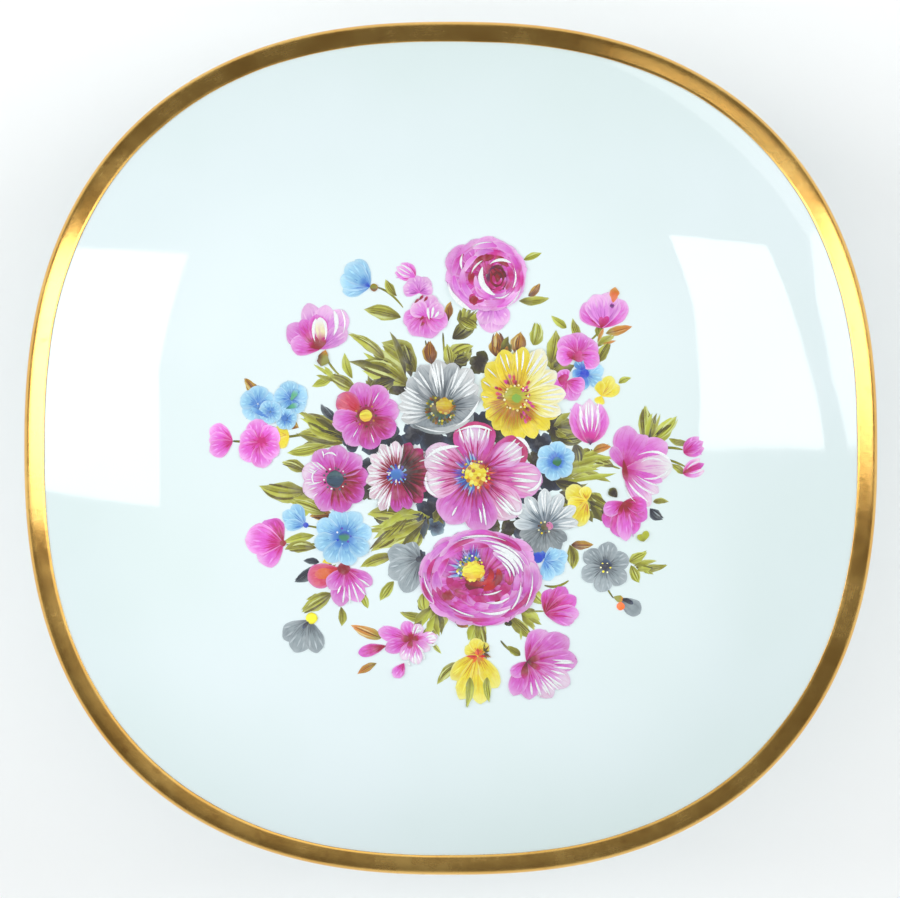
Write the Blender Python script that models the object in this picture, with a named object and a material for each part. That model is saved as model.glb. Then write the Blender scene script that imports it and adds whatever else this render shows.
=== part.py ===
"""A rounded-square porcelain trinket box with a domed lift-off lid and gilded edges.

Metres, +Z up. The origin is the middle of the foot, on the surface that the box stands on.
Each piece is one closed profile, spun about Z into a round shape and then squared into the
box's rounded-square plan.
"""

import math

import bmesh
import bpy
from mathutils import Vector

# Plan, shared by every piece.
SIDE = 0.110  # side of the rounded square, over the gilding
CORNER_POWER = 2.42  # exponent of the plan's superellipse: 2 is a circle, more is squarer
SQUARE_FROM = 0.75  # share of the half side where rings reach the full exponent
SEGMENTS = 60  # facets around, a multiple of four so that the four sides match

# Gilding, fired onto the glaze of the edges.
GILT_FILM = 0.00010  # thickness
GILT_GAP = 0.00005  # clearance between film and glaze
LID_GILT_WIDTH = 0.0021  # how far the lid's band reaches in over the dome, in plan
RIM_GILT_HEIGHT = 0.0026  # height of the band under the base's rim

# Base.
BASE_HEIGHT = 0.036  # foot to rim
BASE_WALL = 0.0032
BASE_FLOOR = 0.0034
BASE_STRAIGHT = 0.0060  # upright part of the wall under the rim
BOWL_POWER = 2.1  # exponent of the curve from wall to foot
FOOT_SIDE = 0.078  # side of the foot ring
FOOT_HEIGHT = 0.0028
FOOT_WALL = 0.0034
RIM_ROUND = 0.0007
FOOT_ROUND = 0.0006
FOOT_INNER_ROUND = 0.0012

# Lid.
SEAT_GAP = 0.0003  # clearance between the lid's seat and the base's rim
LID_CROWN = 0.0145  # rise of the dome from its edge to its crown
DOME_POWER = 2.25  # exponent of the dome: 2 is a parabola, more is a flatter crown
LID_ROLL = 0.0014  # drop of the rolled edge
ROLL_POWER = 48  # how tightly the edge rolls over: more is tighter
LID_SKIRT = 0.0030  # upright part under the rolled edge
LID_WALL = 0.0030
LID_ROUND = 0.0007

# Locating flange under the lid.
FLANGE_DEPTH = 0.0045  # below the seat
FLANGE_WALL = 0.0024
FLANGE_CLEARANCE = 0.0008  # to the inside of the base's rim
FLANGE_ROUND = 0.0008
UNDERSIDE_ROUND = 0.0022  # fillet between the flange and the dome's underside

# Facets along the curves of the profiles.
DOME_STEPS = 8
ROLL_STEPS = 6
BOWL_STEPS = 8
UNDERSIDE_STEPS = 5
ROUND_STEPS = 2
ROLL_CROWDING = 2  # gathers the steps of the rolled edge where it turns fastest
MERGE = 0.000001  # joins the two ends of a spun mesh
SHARP_ANGLE = math.radians(40)

# Places that follow from the sizes above. Half sides lie on the middle of a side.
GLAZE_HALF = SIDE / 2 - GILT_FILM - GILT_GAP  # the porcelain at its widest
RIM_INNER_HALF = GLAZE_HALF - BASE_WALL
FOOT_HALF = FOOT_SIDE / 2
BOWL_TOP = BASE_HEIGHT - BASE_STRAIGHT
FLOOR_TOP = FOOT_HEIGHT + BASE_FLOOR
SEAT = BASE_HEIGHT + SEAT_GAP
CROWN = SEAT + LID_SKIRT + LID_ROLL + LID_CROWN
FLANGE_HALF = RIM_INNER_HALF - FLANGE_CLEARANCE
HOLLOW_HALF = FLANGE_HALF - FLANGE_WALL
FLANGE_END = SEAT - FLANGE_DEPTH
GILT_FROM = 1 - LID_GILT_WIDTH / GLAZE_HALF  # share of the half side where the band starts


def clear_scene():
    for obj in list(bpy.data.objects):
        bpy.data.objects.remove(obj)


def finish(name, colour, roughness, metallic):
    """A Principled BSDF material."""
    material = bpy.data.materials.new(name)
    material.use_nodes = True
    shader = material.node_tree.nodes["Principled BSDF"]
    shader.inputs["Base Color"].default_value = (*colour, 1)
    shader.inputs["Roughness"].default_value = roughness
    shader.inputs["Metallic"].default_value = metallic
    return material


def sharp(points):
    """Profile points as corners with no rounding."""
    return [(width, height, 0) for width, height in points]


def rounded(corners):
    """Profile points through (half width, height, radius) corners, with an arc in place of
    each corner that has a radius."""
    points = []
    for index, (width, height, radius) in enumerate(corners):
        here = Vector((width, height))
        if radius == 0:
            points.append(here)
            continue
        before = (Vector(corners[index - 1][:2]) - here).normalized()
        after = (Vector(corners[index + 1][:2]) - here).normalized()
        half_angle = before.angle(after) / 2
        middle = (before + after).normalized() * radius / math.sin(half_angle)
        first_arm = before * radius / math.tan(half_angle) - middle
        last_arm = after * radius / math.tan(half_angle) - middle
        for step in range(ROUND_STEPS + 1):
            arm = first_arm.slerp(last_arm, step / ROUND_STEPS)
            points.append(here + middle + arm * radius)
    return points


def offset(points, distance):
    """An open profile that runs outwards and down, moved by distance to its outer side."""
    moved = []
    for index, here in enumerate(points):
        before = points[max(index - 1, 0)]
        after = points[min(index + 1, len(points) - 1)]
        along = (after - before).normalized()
        moved.append(here + Vector((-along.y, along.x)) * distance)
    return moved


def square(mesh):
    """Pulls a mesh spun about Z out to the rounded square. Rings near the axis stay round,
    so the crown of the dome has no creases."""
    for vertex in mesh.verts:
        x, y, _ = vertex.co
        radius = math.hypot(x, y)
        if radius < MERGE:
            continue
        share = min(radius / (SQUARE_FROM * GLAZE_HALF), 1)
        power = 2 + (CORNER_POWER - 2) * share * share * (3 - 2 * share)
        reach = (abs(x / radius) ** power + abs(y / radius) ** power) ** (-1 / power)
        vertex.co.x = x * reach
        vertex.co.y = y * reach


def spun(name, profile, material, carrier):
    """A named object: a profile spun about Z and squared. The profile either starts and
    ends on the axis, or is closed into a ring."""
    mesh = bmesh.new()
    verts = [mesh.verts.new((width, 0, height)) for width, height in profile]
    edges = [mesh.edges.new(pair) for pair in zip(verts, verts[1:])]
    on_axis = profile[0][0] == 0 and profile[-1][0] == 0
    if not on_axis:
        edges.append(mesh.edges.new((verts[-1], verts[0])))
    bmesh.ops.spin(
        mesh,
        geom=verts + edges,
        axis=(0, 0, 1),
        cent=(0, 0, 0),
        steps=SEGMENTS,
        angle=math.tau,
        use_merge=True,
    )
    bmesh.ops.remove_doubles(mesh, verts=mesh.verts, dist=MERGE)
    square(mesh)
    bmesh.ops.recalc_face_normals(mesh, faces=mesh.faces)
    data = bpy.data.meshes.new(name)
    mesh.to_mesh(data)
    mesh.free()
    data.shade_smooth()
    data.set_sharp_from_angle(angle=SHARP_ANGLE)
    data.materials.append(material)
    obj = bpy.data.objects.new(name, data)
    obj.parent = carrier
    bpy.context.scene.collection.objects.link(obj)
    return obj


def empty(name):
    """An empty that carries the pieces of one body."""
    carrier = bpy.data.objects.new(name, None)
    bpy.context.scene.collection.objects.link(carrier)
    return carrier


def quarter(upright, level, steps):
    """Points of a quarter superellipse from upright, where it runs straight down, to level,
    where it runs straight in."""
    points = []
    for step in range(steps + 1):
        turn = math.pi / 2 * step / steps
        inwards = 1 - math.cos(turn) ** (2 / BOWL_POWER)
        down = math.sin(turn) ** (2 / BOWL_POWER)
        width = upright[0] + (level[0] - upright[0]) * inwards
        height = upright[1] + (level[1] - upright[1]) * down
        points.append((width, height))
    return points


def dome_height(share):
    """Height of the lid's outside at a share of its half side."""
    roll = LID_ROLL * (1 - math.sqrt(1 - share**ROLL_POWER))
    return CROWN - LID_CROWN * share**DOME_POWER - roll


def underside_height(width):
    return CROWN - LID_WALL - LID_CROWN * (width / GLAZE_HALF) ** DOME_POWER


def dome():
    """The lid's outside from its crown to where the gilding starts."""
    shares = [GILT_FROM * step / DOME_STEPS for step in range(DOME_STEPS)]
    return [(GLAZE_HALF * share, dome_height(share)) for share in shares]


def rolled_edge():
    """The lid's outside from where the gilding starts to where it is upright."""
    shares = [
        1 - (1 - GILT_FROM) * (1 - step / ROLL_STEPS) ** ROLL_CROWDING
        for step in range(ROLL_STEPS + 1)
    ]
    return [(GLAZE_HALF * share, dome_height(share)) for share in shares]


def make_base(porcelain, carrier):
    outside = quarter((GLAZE_HALF, BOWL_TOP), (FOOT_HALF, FOOT_HEIGHT), BOWL_STEPS)
    floor_edge = (FOOT_HALF - BASE_WALL, FLOOR_TOP)
    inside = quarter((RIM_INNER_HALF, BOWL_TOP), floor_edge, BOWL_STEPS)
    profile = [
        (0, FLOOR_TOP, 0),
        *sharp(reversed(inside)),
        (RIM_INNER_HALF, BASE_HEIGHT, RIM_ROUND),
        (GLAZE_HALF, BASE_HEIGHT, RIM_ROUND),
        *sharp(outside),
        (FOOT_HALF, 0, FOOT_ROUND),
        (FOOT_HALF - FOOT_WALL, 0, FOOT_ROUND),
        (FOOT_HALF - FOOT_WALL, FOOT_HEIGHT, FOOT_INNER_ROUND),
        (0, FOOT_HEIGHT, 0),
    ]
    return spun("base_bowl", rounded(profile), porcelain, carrier)


def make_lid(porcelain, carrier):
    inner_widths = [
        HOLLOW_HALF * (1 - step / UNDERSIDE_STEPS) for step in range(1, UNDERSIDE_STEPS + 1)
    ]
    profile = [
        *sharp(dome()),
        *sharp(rolled_edge()),
        (GLAZE_HALF, SEAT, LID_ROUND),
        (FLANGE_HALF, SEAT, 0),
        (FLANGE_HALF, FLANGE_END, FLANGE_ROUND),
        (HOLLOW_HALF, FLANGE_END, FLANGE_ROUND),
        (HOLLOW_HALF, underside_height(HOLLOW_HALF), UNDERSIDE_ROUND),
        *[(width, underside_height(width), 0) for width in inner_widths],
    ]
    return spun("lid", rounded(profile), porcelain, carrier)


def film_over(points):
    """Closed profile of a gilt film over an open stretch of the porcelain's profile."""
    outer = offset(points, GILT_GAP + GILT_FILM)
    inner = offset(points, GILT_GAP)
    return outer + inner[::-1]


def make_lid_gilding(gilding, carrier):
    """The band over the lid's rolled edge and down its skirt."""
    points = [Vector(point) for point in rolled_edge()]
    points.append(Vector((GLAZE_HALF, SEAT + LID_ROUND)))
    return spun("lid_gilt_band", film_over(points), gilding, carrier)


def make_rim_gilding(gilding, carrier):
    """The band under the base's rim."""
    top = BASE_HEIGHT - RIM_ROUND
    points = [Vector((GLAZE_HALF, top)), Vector((GLAZE_HALF, top - RIM_GILT_HEIGHT))]
    return spun("base_gilt_band", film_over(points), gilding, carrier)


def main():
    clear_scene()
    porcelain = finish("porcelain", colour=(0.86, 0.90, 0.90), roughness=0.08, metallic=0)
    gilding = finish("gilding", colour=(0.80, 0.56, 0.18), roughness=0.18, metallic=1)
    base = empty("base")
    make_base(porcelain, base)
    make_rim_gilding(gilding, base)
    lid = empty("lifting_lid")
    make_lid(porcelain, lid)
    make_lid_gilding(gilding, lid)


main()
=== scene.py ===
"""The looks of a rounded-square porcelain trinket box: glazed porcelain, gilded edges, and a
bouquet in overglaze enamels on the dome of its lid. Metres, +Z up, in the frame's row frame.
Paint colours are written as sRGB, 0 to 255, and the bouquet's plan in millimetres from the
middle of the lid.
"""

import math
import random

import bpy
import numpy as np
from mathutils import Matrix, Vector


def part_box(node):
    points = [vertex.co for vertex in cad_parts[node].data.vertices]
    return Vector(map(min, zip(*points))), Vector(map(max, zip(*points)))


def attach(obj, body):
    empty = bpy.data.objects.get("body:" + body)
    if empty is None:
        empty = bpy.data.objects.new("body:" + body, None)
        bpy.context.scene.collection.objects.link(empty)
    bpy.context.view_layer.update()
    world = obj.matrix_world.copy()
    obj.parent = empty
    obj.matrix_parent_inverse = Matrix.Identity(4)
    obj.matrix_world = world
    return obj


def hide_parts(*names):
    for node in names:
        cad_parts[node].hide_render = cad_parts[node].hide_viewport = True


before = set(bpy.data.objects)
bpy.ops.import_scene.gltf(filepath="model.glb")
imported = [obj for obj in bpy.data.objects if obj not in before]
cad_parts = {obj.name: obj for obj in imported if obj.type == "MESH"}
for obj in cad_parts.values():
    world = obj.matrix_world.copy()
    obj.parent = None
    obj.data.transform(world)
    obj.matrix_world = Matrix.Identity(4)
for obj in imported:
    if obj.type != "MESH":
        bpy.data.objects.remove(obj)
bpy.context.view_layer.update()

# Sizes that the frame gives. Half sides lie on the middle of a side.
_, BOWL_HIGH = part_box("base_bowl")
LID_LOW, LID_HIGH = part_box("lid")
BAND_LOW, BAND_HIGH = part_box("lid_gilt_band")
RIM_BAND_LOW, RIM_BAND_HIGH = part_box("base_gilt_band")
GLAZE_HALF = LID_HIGH.x  # the porcelain at its widest
CROWN = LID_HIGH.z
RIM = BOWL_HIGH.z
FLANGE_END = LID_LOW.z
BAND_PROUD = BAND_HIGH.x - GLAZE_HALF  # gap and thickness of the gilt film

# Sizes of the porcelain that the frame's boxes don't show.
MM = 0.001
CORNER_POWER = 2.42  # exponent of the plan's superellipse
SQUARE_FROM = 0.75  # share of the half side where rings reach the full exponent
SEAT = RIM + 0.3 * MM  # underside of the lid's edge, just clear of the rim
LID_CROWN = 14.5 * MM  # how far the dome falls from its middle to its edge
DOME_POWER = 2.25  # exponent of that fall
LID_ROLL = 0.6 * MM  # how far the very edge rolls over
ROLL_POWER = 160  # the higher, the tighter the roll
ROLL_FROM = 0.955  # share of the half side where the outside gets closer points
LID_WALL = 3.0 * MM
BASE_WALL = 3.2 * MM
BASE_STRAIGHT = 6.0 * MM  # upright part of the base's wall, under the rim
BOWL_POWER = 2.1  # exponent of the curve from the wall to the foot
FOOT_HALF = 39.0 * MM
FOOT_HEIGHT = 2.8 * MM
FOOT_WALL = 3.4 * MM
FLOOR_TOP = 6.2 * MM
FLANGE_HALF = GLAZE_HALF - BASE_WALL - 0.8 * MM  # with the flange's play inside the rim
FLANGE_WALL = 2.4 * MM
HOLLOW_HALF = FLANGE_HALF - FLANGE_WALL
BAND_WIDTH = 2.58 * MM  # how far the gilding reaches in over the dome, in plan
BAND_WANDER = 0.07 * MM  # how far its brushed edge strays
BAND_EDGE = 0.8 * BAND_PROUD  # height of that edge over the dome
FILM_UNDER = 0.02 * MM  # gap between the glaze and the gilt film
FOOT_LINE_HEIGHT = 1.0 * MM
LIP_RADIUS = 0.7 * MM  # round edges of the rim and of the lid's seat
FOOT_RADIUS = 0.6 * MM
FOOT_FILLET = 1.2 * MM  # inside the foot ring
FLANGE_RADIUS = 0.8 * MM
FLANGE_FILLET = 2.2 * MM  # between the flange and the underside of the dome

AROUND = 288  # facets round the porcelain
ARC_STEPS = 6  # facets round an edge
BOWL_STEPS = 40  # facets from the base's wall to its foot
FLOOR_STEPS = 12
DOME_STEPS = 60  # facets up the lid's outside
ROLL_STEPS = 24  # more of them at its edge, and up its underside
BAND_STEPS = 30  # facets across the gilding
SETTLING = 12  # rounds that settle share_at


# ---------------------------------------------------------------- round forms, squared


def reach(share, across, along):
    """How far the plan stretches at a share of the half side, towards a unit direction."""
    mix = np.minimum(share / SQUARE_FROM, 1)
    power = 2 + (CORNER_POWER - 2) * mix * mix * (3 - 2 * mix)
    return (np.abs(across) ** power + np.abs(along) ** power) ** (-1 / power)


def share_at(x, y):
    """The share of the half side that the ring through a point of the plan has."""
    distance = np.maximum(np.hypot(x, y), 1e-9)
    across = x / distance
    along = y / distance
    radius = distance
    for _ in range(SETTLING):
        radius = distance / reach(radius / GLAZE_HALF, across, along)
    return radius / GLAZE_HALF


def dome_height(share):
    """Height of the lid's outside."""
    roll = LID_ROLL * (1 - np.sqrt(np.maximum(1 - share**ROLL_POWER, 0)))
    return CROWN - LID_CROWN * share**DOME_POWER - roll


def underside_height(width):
    """Height of the inside of the dome."""
    return CROWN - LID_WALL - LID_CROWN * (width / GLAZE_HALF) ** DOME_POWER


def link(name, mesh, material, body):
    """A finished piece: smooth, with its material, on its body."""
    obj = bpy.data.objects.new(name, mesh)
    bpy.context.scene.collection.objects.link(obj)
    mesh.materials.append(material)
    mesh.shade_smooth()
    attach(obj, body)
    return obj


def spun(name, profile, material, body, wander=()):
    """A ring or a shell of the porcelain's plan from its (half width, height) profile. The
    UV map's U runs once round the box and its V along the profile, in metres. wander lists
    (index, function of the angles) pairs; each moves that point of the profile in or out,
    over the dome."""
    profile = np.array(profile, float)
    on_axis = profile[0][0] == 0 and profile[-1][0] == 0
    rings = profile[1:-1] if on_axis else profile
    angles = np.arange(AROUND) * math.tau / AROUND
    across = np.cos(angles)
    along = np.sin(angles)
    radius = np.repeat(rings[:, :1], AROUND, axis=1)
    height = np.repeat(rings[:, 1:], AROUND, axis=1)
    for index, stray in wander:
        radius[index] += stray(angles)
        height[index] = dome_height(radius[index] / GLAZE_HALF) + BAND_EDGE
    stretch = reach(radius / GLAZE_HALF, across, along)
    coords = np.stack([radius * across * stretch, radius * along * stretch, height], axis=-1)
    verts = coords.reshape(-1, 3)
    faces = []
    ring_count = len(rings)
    for ring in range(ring_count - 1 if on_axis else ring_count):
        following = (ring + 1) % ring_count
        for step in range(AROUND):
            turn = (step + 1) % AROUND
            faces.append(
                (
                    ring * AROUND + step,
                    following * AROUND + step,
                    following * AROUND + turn,
                    ring * AROUND + turn,
                )
            )
    if on_axis:
        top = len(verts)
        verts = np.vstack([verts, [(0, 0, profile[0][1]), (0, 0, profile[-1][1])]])
        last = (ring_count - 1) * AROUND
        for step in range(AROUND):
            turn = (step + 1) % AROUND
            faces.append((top, step, turn))
            faces.append((last + turn, last + step, top + 1))
    mesh = bpy.data.meshes.new(name)
    mesh.from_pydata(verts.tolist(), [], faces)
    lengths = np.concatenate([[0], np.cumsum(np.hypot(*np.diff(rings, axis=0).T))])
    uv = mesh.uv_layers.new(name="UVMap")
    for polygon in mesh.polygons:
        steps = [index % AROUND for index in polygon.vertices]
        wraps = max(steps) - min(steps) > AROUND / 2
        for loop, index in zip(polygon.loop_indices, polygon.vertices):
            step = index % AROUND
            ring = min(index // AROUND, ring_count - 1)
            around = (step + AROUND if wraps and step == 0 else step) / AROUND
            uv.data[loop].uv = (around, lengths[ring])
    return link(name, mesh, material, body)


def round_corner(corner, before, after, radius):
    """Points that round a corner of a profile between its two neighbours."""
    here = np.array(corner, float)
    to_before = np.array(before, float) - here
    to_after = np.array(after, float) - here
    to_before /= np.linalg.norm(to_before)
    to_after /= np.linalg.norm(to_after)
    half_angle = math.acos(float(to_before @ to_after)) / 2
    middle = to_before + to_after
    middle *= radius / math.sin(half_angle) / np.linalg.norm(middle)
    first = to_before * radius / math.tan(half_angle) - middle
    last = to_after * radius / math.tan(half_angle) - middle
    sweep = math.pi - 2 * half_angle
    points = []
    for step in range(ARC_STEPS + 1):
        turn = sweep * step / ARC_STEPS
        arm = (math.sin(sweep - turn) * first + math.sin(turn) * last) / math.sin(sweep)
        points.append(tuple(here + middle + arm))
    return points


def rounded(corners):
    """A profile through (half width, height, radius) corners."""
    points = []
    for index, (width, height, radius) in enumerate(corners):
        if radius == 0:
            points.append((width, height))
        else:
            following = corners[(index + 1) % len(corners)]
            before = corners[index - 1]
            points += round_corner((width, height), before[:2], following[:2], radius)
    return points


def sharp(points):
    """Corners that stay as they are."""
    return [(width, height, 0) for width, height in points]


# ---------------------------------------------------------------- node materials


def colour(red, green, blue):
    """An sRGB colour, 0 to 255, as the linear colour that a shader takes."""

    def linear(value):
        value /= 255
        return value / 12.92 if value <= 0.04045 else ((value + 0.055) / 1.055) ** 2.4

    return (linear(red), linear(green), linear(blue))


class Nodes:
    """Short calls for one material's node tree."""

    def __init__(self, name):
        self.material = bpy.data.materials.new(name)
        self.material.use_nodes = True
        self.tree = self.material.node_tree
        self.shader = self.tree.nodes["Principled BSDF"]

    def add(self, kind, inputs=None, **settings):
        node = self.tree.nodes.new(kind)
        for key, value in settings.items():
            setattr(node, key, value)
        for key, value in (inputs or {}).items():
            self.put(node.inputs[key], value)
        return node

    def put(self, socket, value):
        if isinstance(value, bpy.types.NodeSocket):
            self.tree.links.new(value, socket)
        else:
            socket.default_value = value

    def set(self, **values):
        for key, value in values.items():
            self.put(self.shader.inputs[key.replace("_", " ")], value)

    def math(self, operation, first, second):
        node = self.add("ShaderNodeMath", operation=operation)
        self.put(node.inputs[0], first)
        self.put(node.inputs[1], second)
        return node.outputs[0]

    def noise(self, vector, scale, detail, roughness=0.5):
        node = self.add(
            "ShaderNodeTexNoise",
            {"Vector": vector, "Scale": scale, "Detail": detail, "Roughness": roughness},
        )
        return node.outputs["Fac"]

    def fit(self, value, low, high, to_low=0.0, to_high=1.0):
        node = self.add(
            "ShaderNodeMapRange",
            {"Value": value, "From Min": low, "From Max": high, "To Min": to_low, "To Max": to_high},
        )
        return node.outputs["Result"]

    def mix(self, share, first, second):
        node = self.add("ShaderNodeMix", data_type="RGBA")
        self.put(node.inputs["Factor"], share)
        for socket, value in ((node.inputs["A"], first), (node.inputs["B"], second)):
            self.put(socket, value)
        return node.outputs["Result"]

    def scaled(self, vector, scale):
        node = self.add("ShaderNodeMapping", {"Vector": vector, "Scale": scale})
        return node.outputs["Vector"]

    def bump(self, height, distance):
        inputs = {"Height": height, "Distance": distance, "Strength": 1.0}
        return self.add("ShaderNodeBump", inputs).outputs["Normal"]

    def place(self):
        return self.add("ShaderNodeTexCoord").outputs["Object"]

    def uv(self):
        return self.add("ShaderNodeTexCoord").outputs["UV"]


def rgba(red, green, blue):
    return (*colour(red, green, blue), 1)


def porcelain_material():
    """Clear glaze over a cool white body: slight clouding, a few kiln specks, a skin that
    isn't quite flat, and a dry biscuit face where the foot was ground."""
    nodes = Nodes("glazed_porcelain")
    place = nodes.place()
    cloud = nodes.noise(place, 22.0, 3.0)
    body = nodes.mix(nodes.fit(cloud, 0.35, 0.65), rgba(226, 239, 241), rgba(220, 235, 234))
    speck_cells = nodes.add("ShaderNodeTexVoronoi", {"Vector": place, "Scale": 95.0})
    speck_pick = nodes.noise(place, 60.0, 1.0)
    near = nodes.fit(speck_cells.outputs["Distance"], 0.030, 0.012)
    rare = nodes.fit(speck_pick, 0.66, 0.70)
    specks = nodes.math("MULTIPLY", nodes.math("MULTIPLY", near, rare), 0.55)
    body = nodes.mix(specks, body, rgba(120, 118, 108))
    height = nodes.add("ShaderNodeSeparateXYZ", {"Vector": place}).outputs["Z"]
    ground = nodes.fit(height, 0.35 * MM, 0.25 * MM)
    grain = nodes.noise(place, 2600.0, 4.0)
    biscuit = nodes.mix(grain, rgba(214, 208, 194), rgba(236, 232, 222))
    nodes.set(Base_Color=nodes.mix(ground, body, biscuit))
    smudge = nodes.noise(place, 70.0, 3.0)
    gloss = nodes.fit(smudge, 0.3, 0.7, 0.025, 0.060)
    matt = nodes.math("MULTIPLY", ground, 0.60)
    nodes.set(Roughness=nodes.math("ADD", gloss, matt))
    skin = nodes.noise(place, 210.0, 2.0)
    swell = nodes.noise(place, 38.0, 1.0)
    relief = nodes.math("ADD", nodes.math("MULTIPLY", skin, 0.12), swell)
    nodes.set(Normal=nodes.bump(relief, 0.030 * MM))
    nodes.shader.inputs["IOR"].default_value = GLAZE_IOR
    return nodes.material


def gilding_material():
    """Burnished gold, banded on with a brush: fine streaks along the band, thin patches where
    the gold is browner, and rubbed, brighter spots."""
    nodes = Nodes("burnished_gilding")
    place = nodes.place()
    streaks = nodes.noise(nodes.scaled(nodes.uv(), (60.0, 16000.0, 1.0)), 1.0, 3.0)
    patches = nodes.noise(place, 120.0, 4.0, 0.65)
    gold = nodes.mix(nodes.fit(patches, 0.3, 0.7), rgba(226, 172, 88), rgba(240, 196, 112))
    thin = nodes.fit(nodes.noise(place, 420.0, 4.0, 0.7), 0.60, 0.75)
    gold = nodes.mix(nodes.math("MULTIPLY", thin, 0.45), gold, rgba(176, 120, 58))
    nodes.set(Base_Color=gold)
    nodes.shader.inputs["Metallic"].default_value = 1.0
    rubbed = nodes.fit(patches, 0.35, 0.70, 0.13, 0.27)
    nodes.set(Roughness=nodes.math("ADD", rubbed, nodes.math("MULTIPLY", streaks, 0.08)))
    fine = nodes.noise(place, 1500.0, 3.0, 0.6)
    relief = nodes.math("ADD", nodes.math("MULTIPLY", streaks, 0.6), fine)
    nodes.set(Normal=nodes.bump(relief, 0.007 * MM))
    return nodes.material


# ---------------------------------------------------------------- porcelain and gilding


def quarter(upright, level):
    """Points of a quarter superellipse, from running straight down to running straight in."""
    points = []
    for step in range(BOWL_STEPS + 1):
        turn = math.pi / 2 * step / BOWL_STEPS
        inwards = 1 - math.cos(turn) ** (2 / BOWL_POWER)
        down = math.sin(turn) ** (2 / BOWL_POWER)
        width = upright[0] + (level[0] - upright[0]) * inwards
        height = upright[1] + (level[1] - upright[1]) * down
        points.append((width, height))
    return points


def dome_points(first, last, steps, crowding):
    """Points of the lid's outside between two shares of its half side, which get closer
    towards the last one where crowding is over 1."""
    shares = last - (last - first) * (1 - np.arange(steps + 1) / steps) ** crowding
    return [(GLAZE_HALF * share, float(dome_height(share))) for share in shares]


def make_base(material):
    """The bowl on its foot ring, as one closed shell."""
    bowl_top = RIM - BASE_STRAIGHT
    inner = GLAZE_HALF - BASE_WALL
    floor_half = FOOT_HALF - BASE_WALL
    outside = quarter((GLAZE_HALF, bowl_top), (FOOT_HALF, FOOT_HEIGHT))
    inside = quarter((inner, bowl_top), (floor_half, FLOOR_TOP))
    floor = [(step * floor_half / FLOOR_STEPS, FLOOR_TOP) for step in range(FLOOR_STEPS)]
    corners = [
        *sharp(floor),
        *sharp(inside[::-1]),
        (inner, RIM, LIP_RADIUS),
        (GLAZE_HALF, RIM, LIP_RADIUS),
        *sharp(outside[:-1]),
        (FOOT_HALF, FOOT_HEIGHT, 0),
        (FOOT_HALF, 0, FOOT_RADIUS),
        (FOOT_HALF - FOOT_WALL, 0, FOOT_RADIUS),
        (FOOT_HALF - FOOT_WALL, FOOT_HEIGHT, FOOT_FILLET),
        (0, FOOT_HEIGHT, 0),
    ]
    base = spun("base_porcelain", rounded(corners)[::-1], material, "base")
    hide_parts("base_bowl")


def make_lid(material):
    """The dome and its flange, as one closed shell."""
    widths = [step * HOLLOW_HALF / ROLL_STEPS for step in range(ROLL_STEPS - 1, -1, -1)]
    underside = [(width, underside_height(width)) for width in widths]
    outside = dome_points(0, ROLL_FROM, DOME_STEPS, 1)
    outside += dome_points(ROLL_FROM, 1, ROLL_STEPS, 2)[1:]
    corners = [
        *sharp(outside),
        (GLAZE_HALF, SEAT, LIP_RADIUS),
        (FLANGE_HALF, SEAT, 0),
        (FLANGE_HALF, FLANGE_END, FLANGE_RADIUS),
        (HOLLOW_HALF, FLANGE_END, FLANGE_RADIUS),
        (HOLLOW_HALF, underside_height(HOLLOW_HALF), FLANGE_FILLET),
        *sharp(underside),
    ]
    lid = spun("lid_porcelain", rounded(corners), material, "lid")
    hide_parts("lid")


def offset(points, distance):
    """An open profile that runs outwards and down, moved to its outer side."""
    points = np.array(points, float)
    along = np.gradient(points, axis=0)
    along /= np.linalg.norm(along, axis=1)[:, None]
    return points + np.stack([-along[:, 1], along[:, 0]], axis=1) * distance


def gilt_film(edge):
    """The closed profile of a film over an open one."""
    return np.vstack([offset(edge, BAND_PROUD), offset(edge, FILM_UNDER)[::-1]])


def brushed_edge(angles):
    """How the gilding's inner edge strays where the brush did: waves of a (count round the
    box, size, phase)."""
    waves = ((3, 0.35, 0.4), (7, 0.25, 1.9), (17, 0.2, 4.0), (31, 0.12, 2.2), (53, 0.08, 0.9))
    stray = sum(size * np.sin(count * angles + phase) for count, size, phase in waves)
    return stray * BAND_WANDER


def make_gilding(material):
    """Gold on the lid's edge, on the rim and, as a fine line, on the foot."""
    first = 1 - BAND_WIDTH / GLAZE_HALF
    edge = dome_points(first, 1, BAND_STEPS, 2)
    edge.append((GLAZE_HALF, SEAT + LIP_RADIUS))
    film = gilt_film(edge)
    ends = [(0, brushed_edge), (len(film) - 1, brushed_edge)]
    band = spun("lid_gilding", film, material, "lid", wander=ends)
    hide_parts("lid_gilt_band")
    top = RIM_BAND_HIGH.z
    low = RIM_BAND_LOW.z
    rim_line = [(GLAZE_HALF, top + (low - top) * step / 4) for step in range(5)]
    band = spun("rim_gilding", gilt_film(rim_line), material, "base")
    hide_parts("base_gilt_band")
    foot_top = FOOT_RADIUS + FOOT_LINE_HEIGHT
    foot_line = [(FOOT_HALF, foot_top), (FOOT_HALF, FOOT_RADIUS)]
    spun("foot_gilding", gilt_film(foot_line), material, "base")


# ---------------------------------------------------------------- enamels

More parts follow.
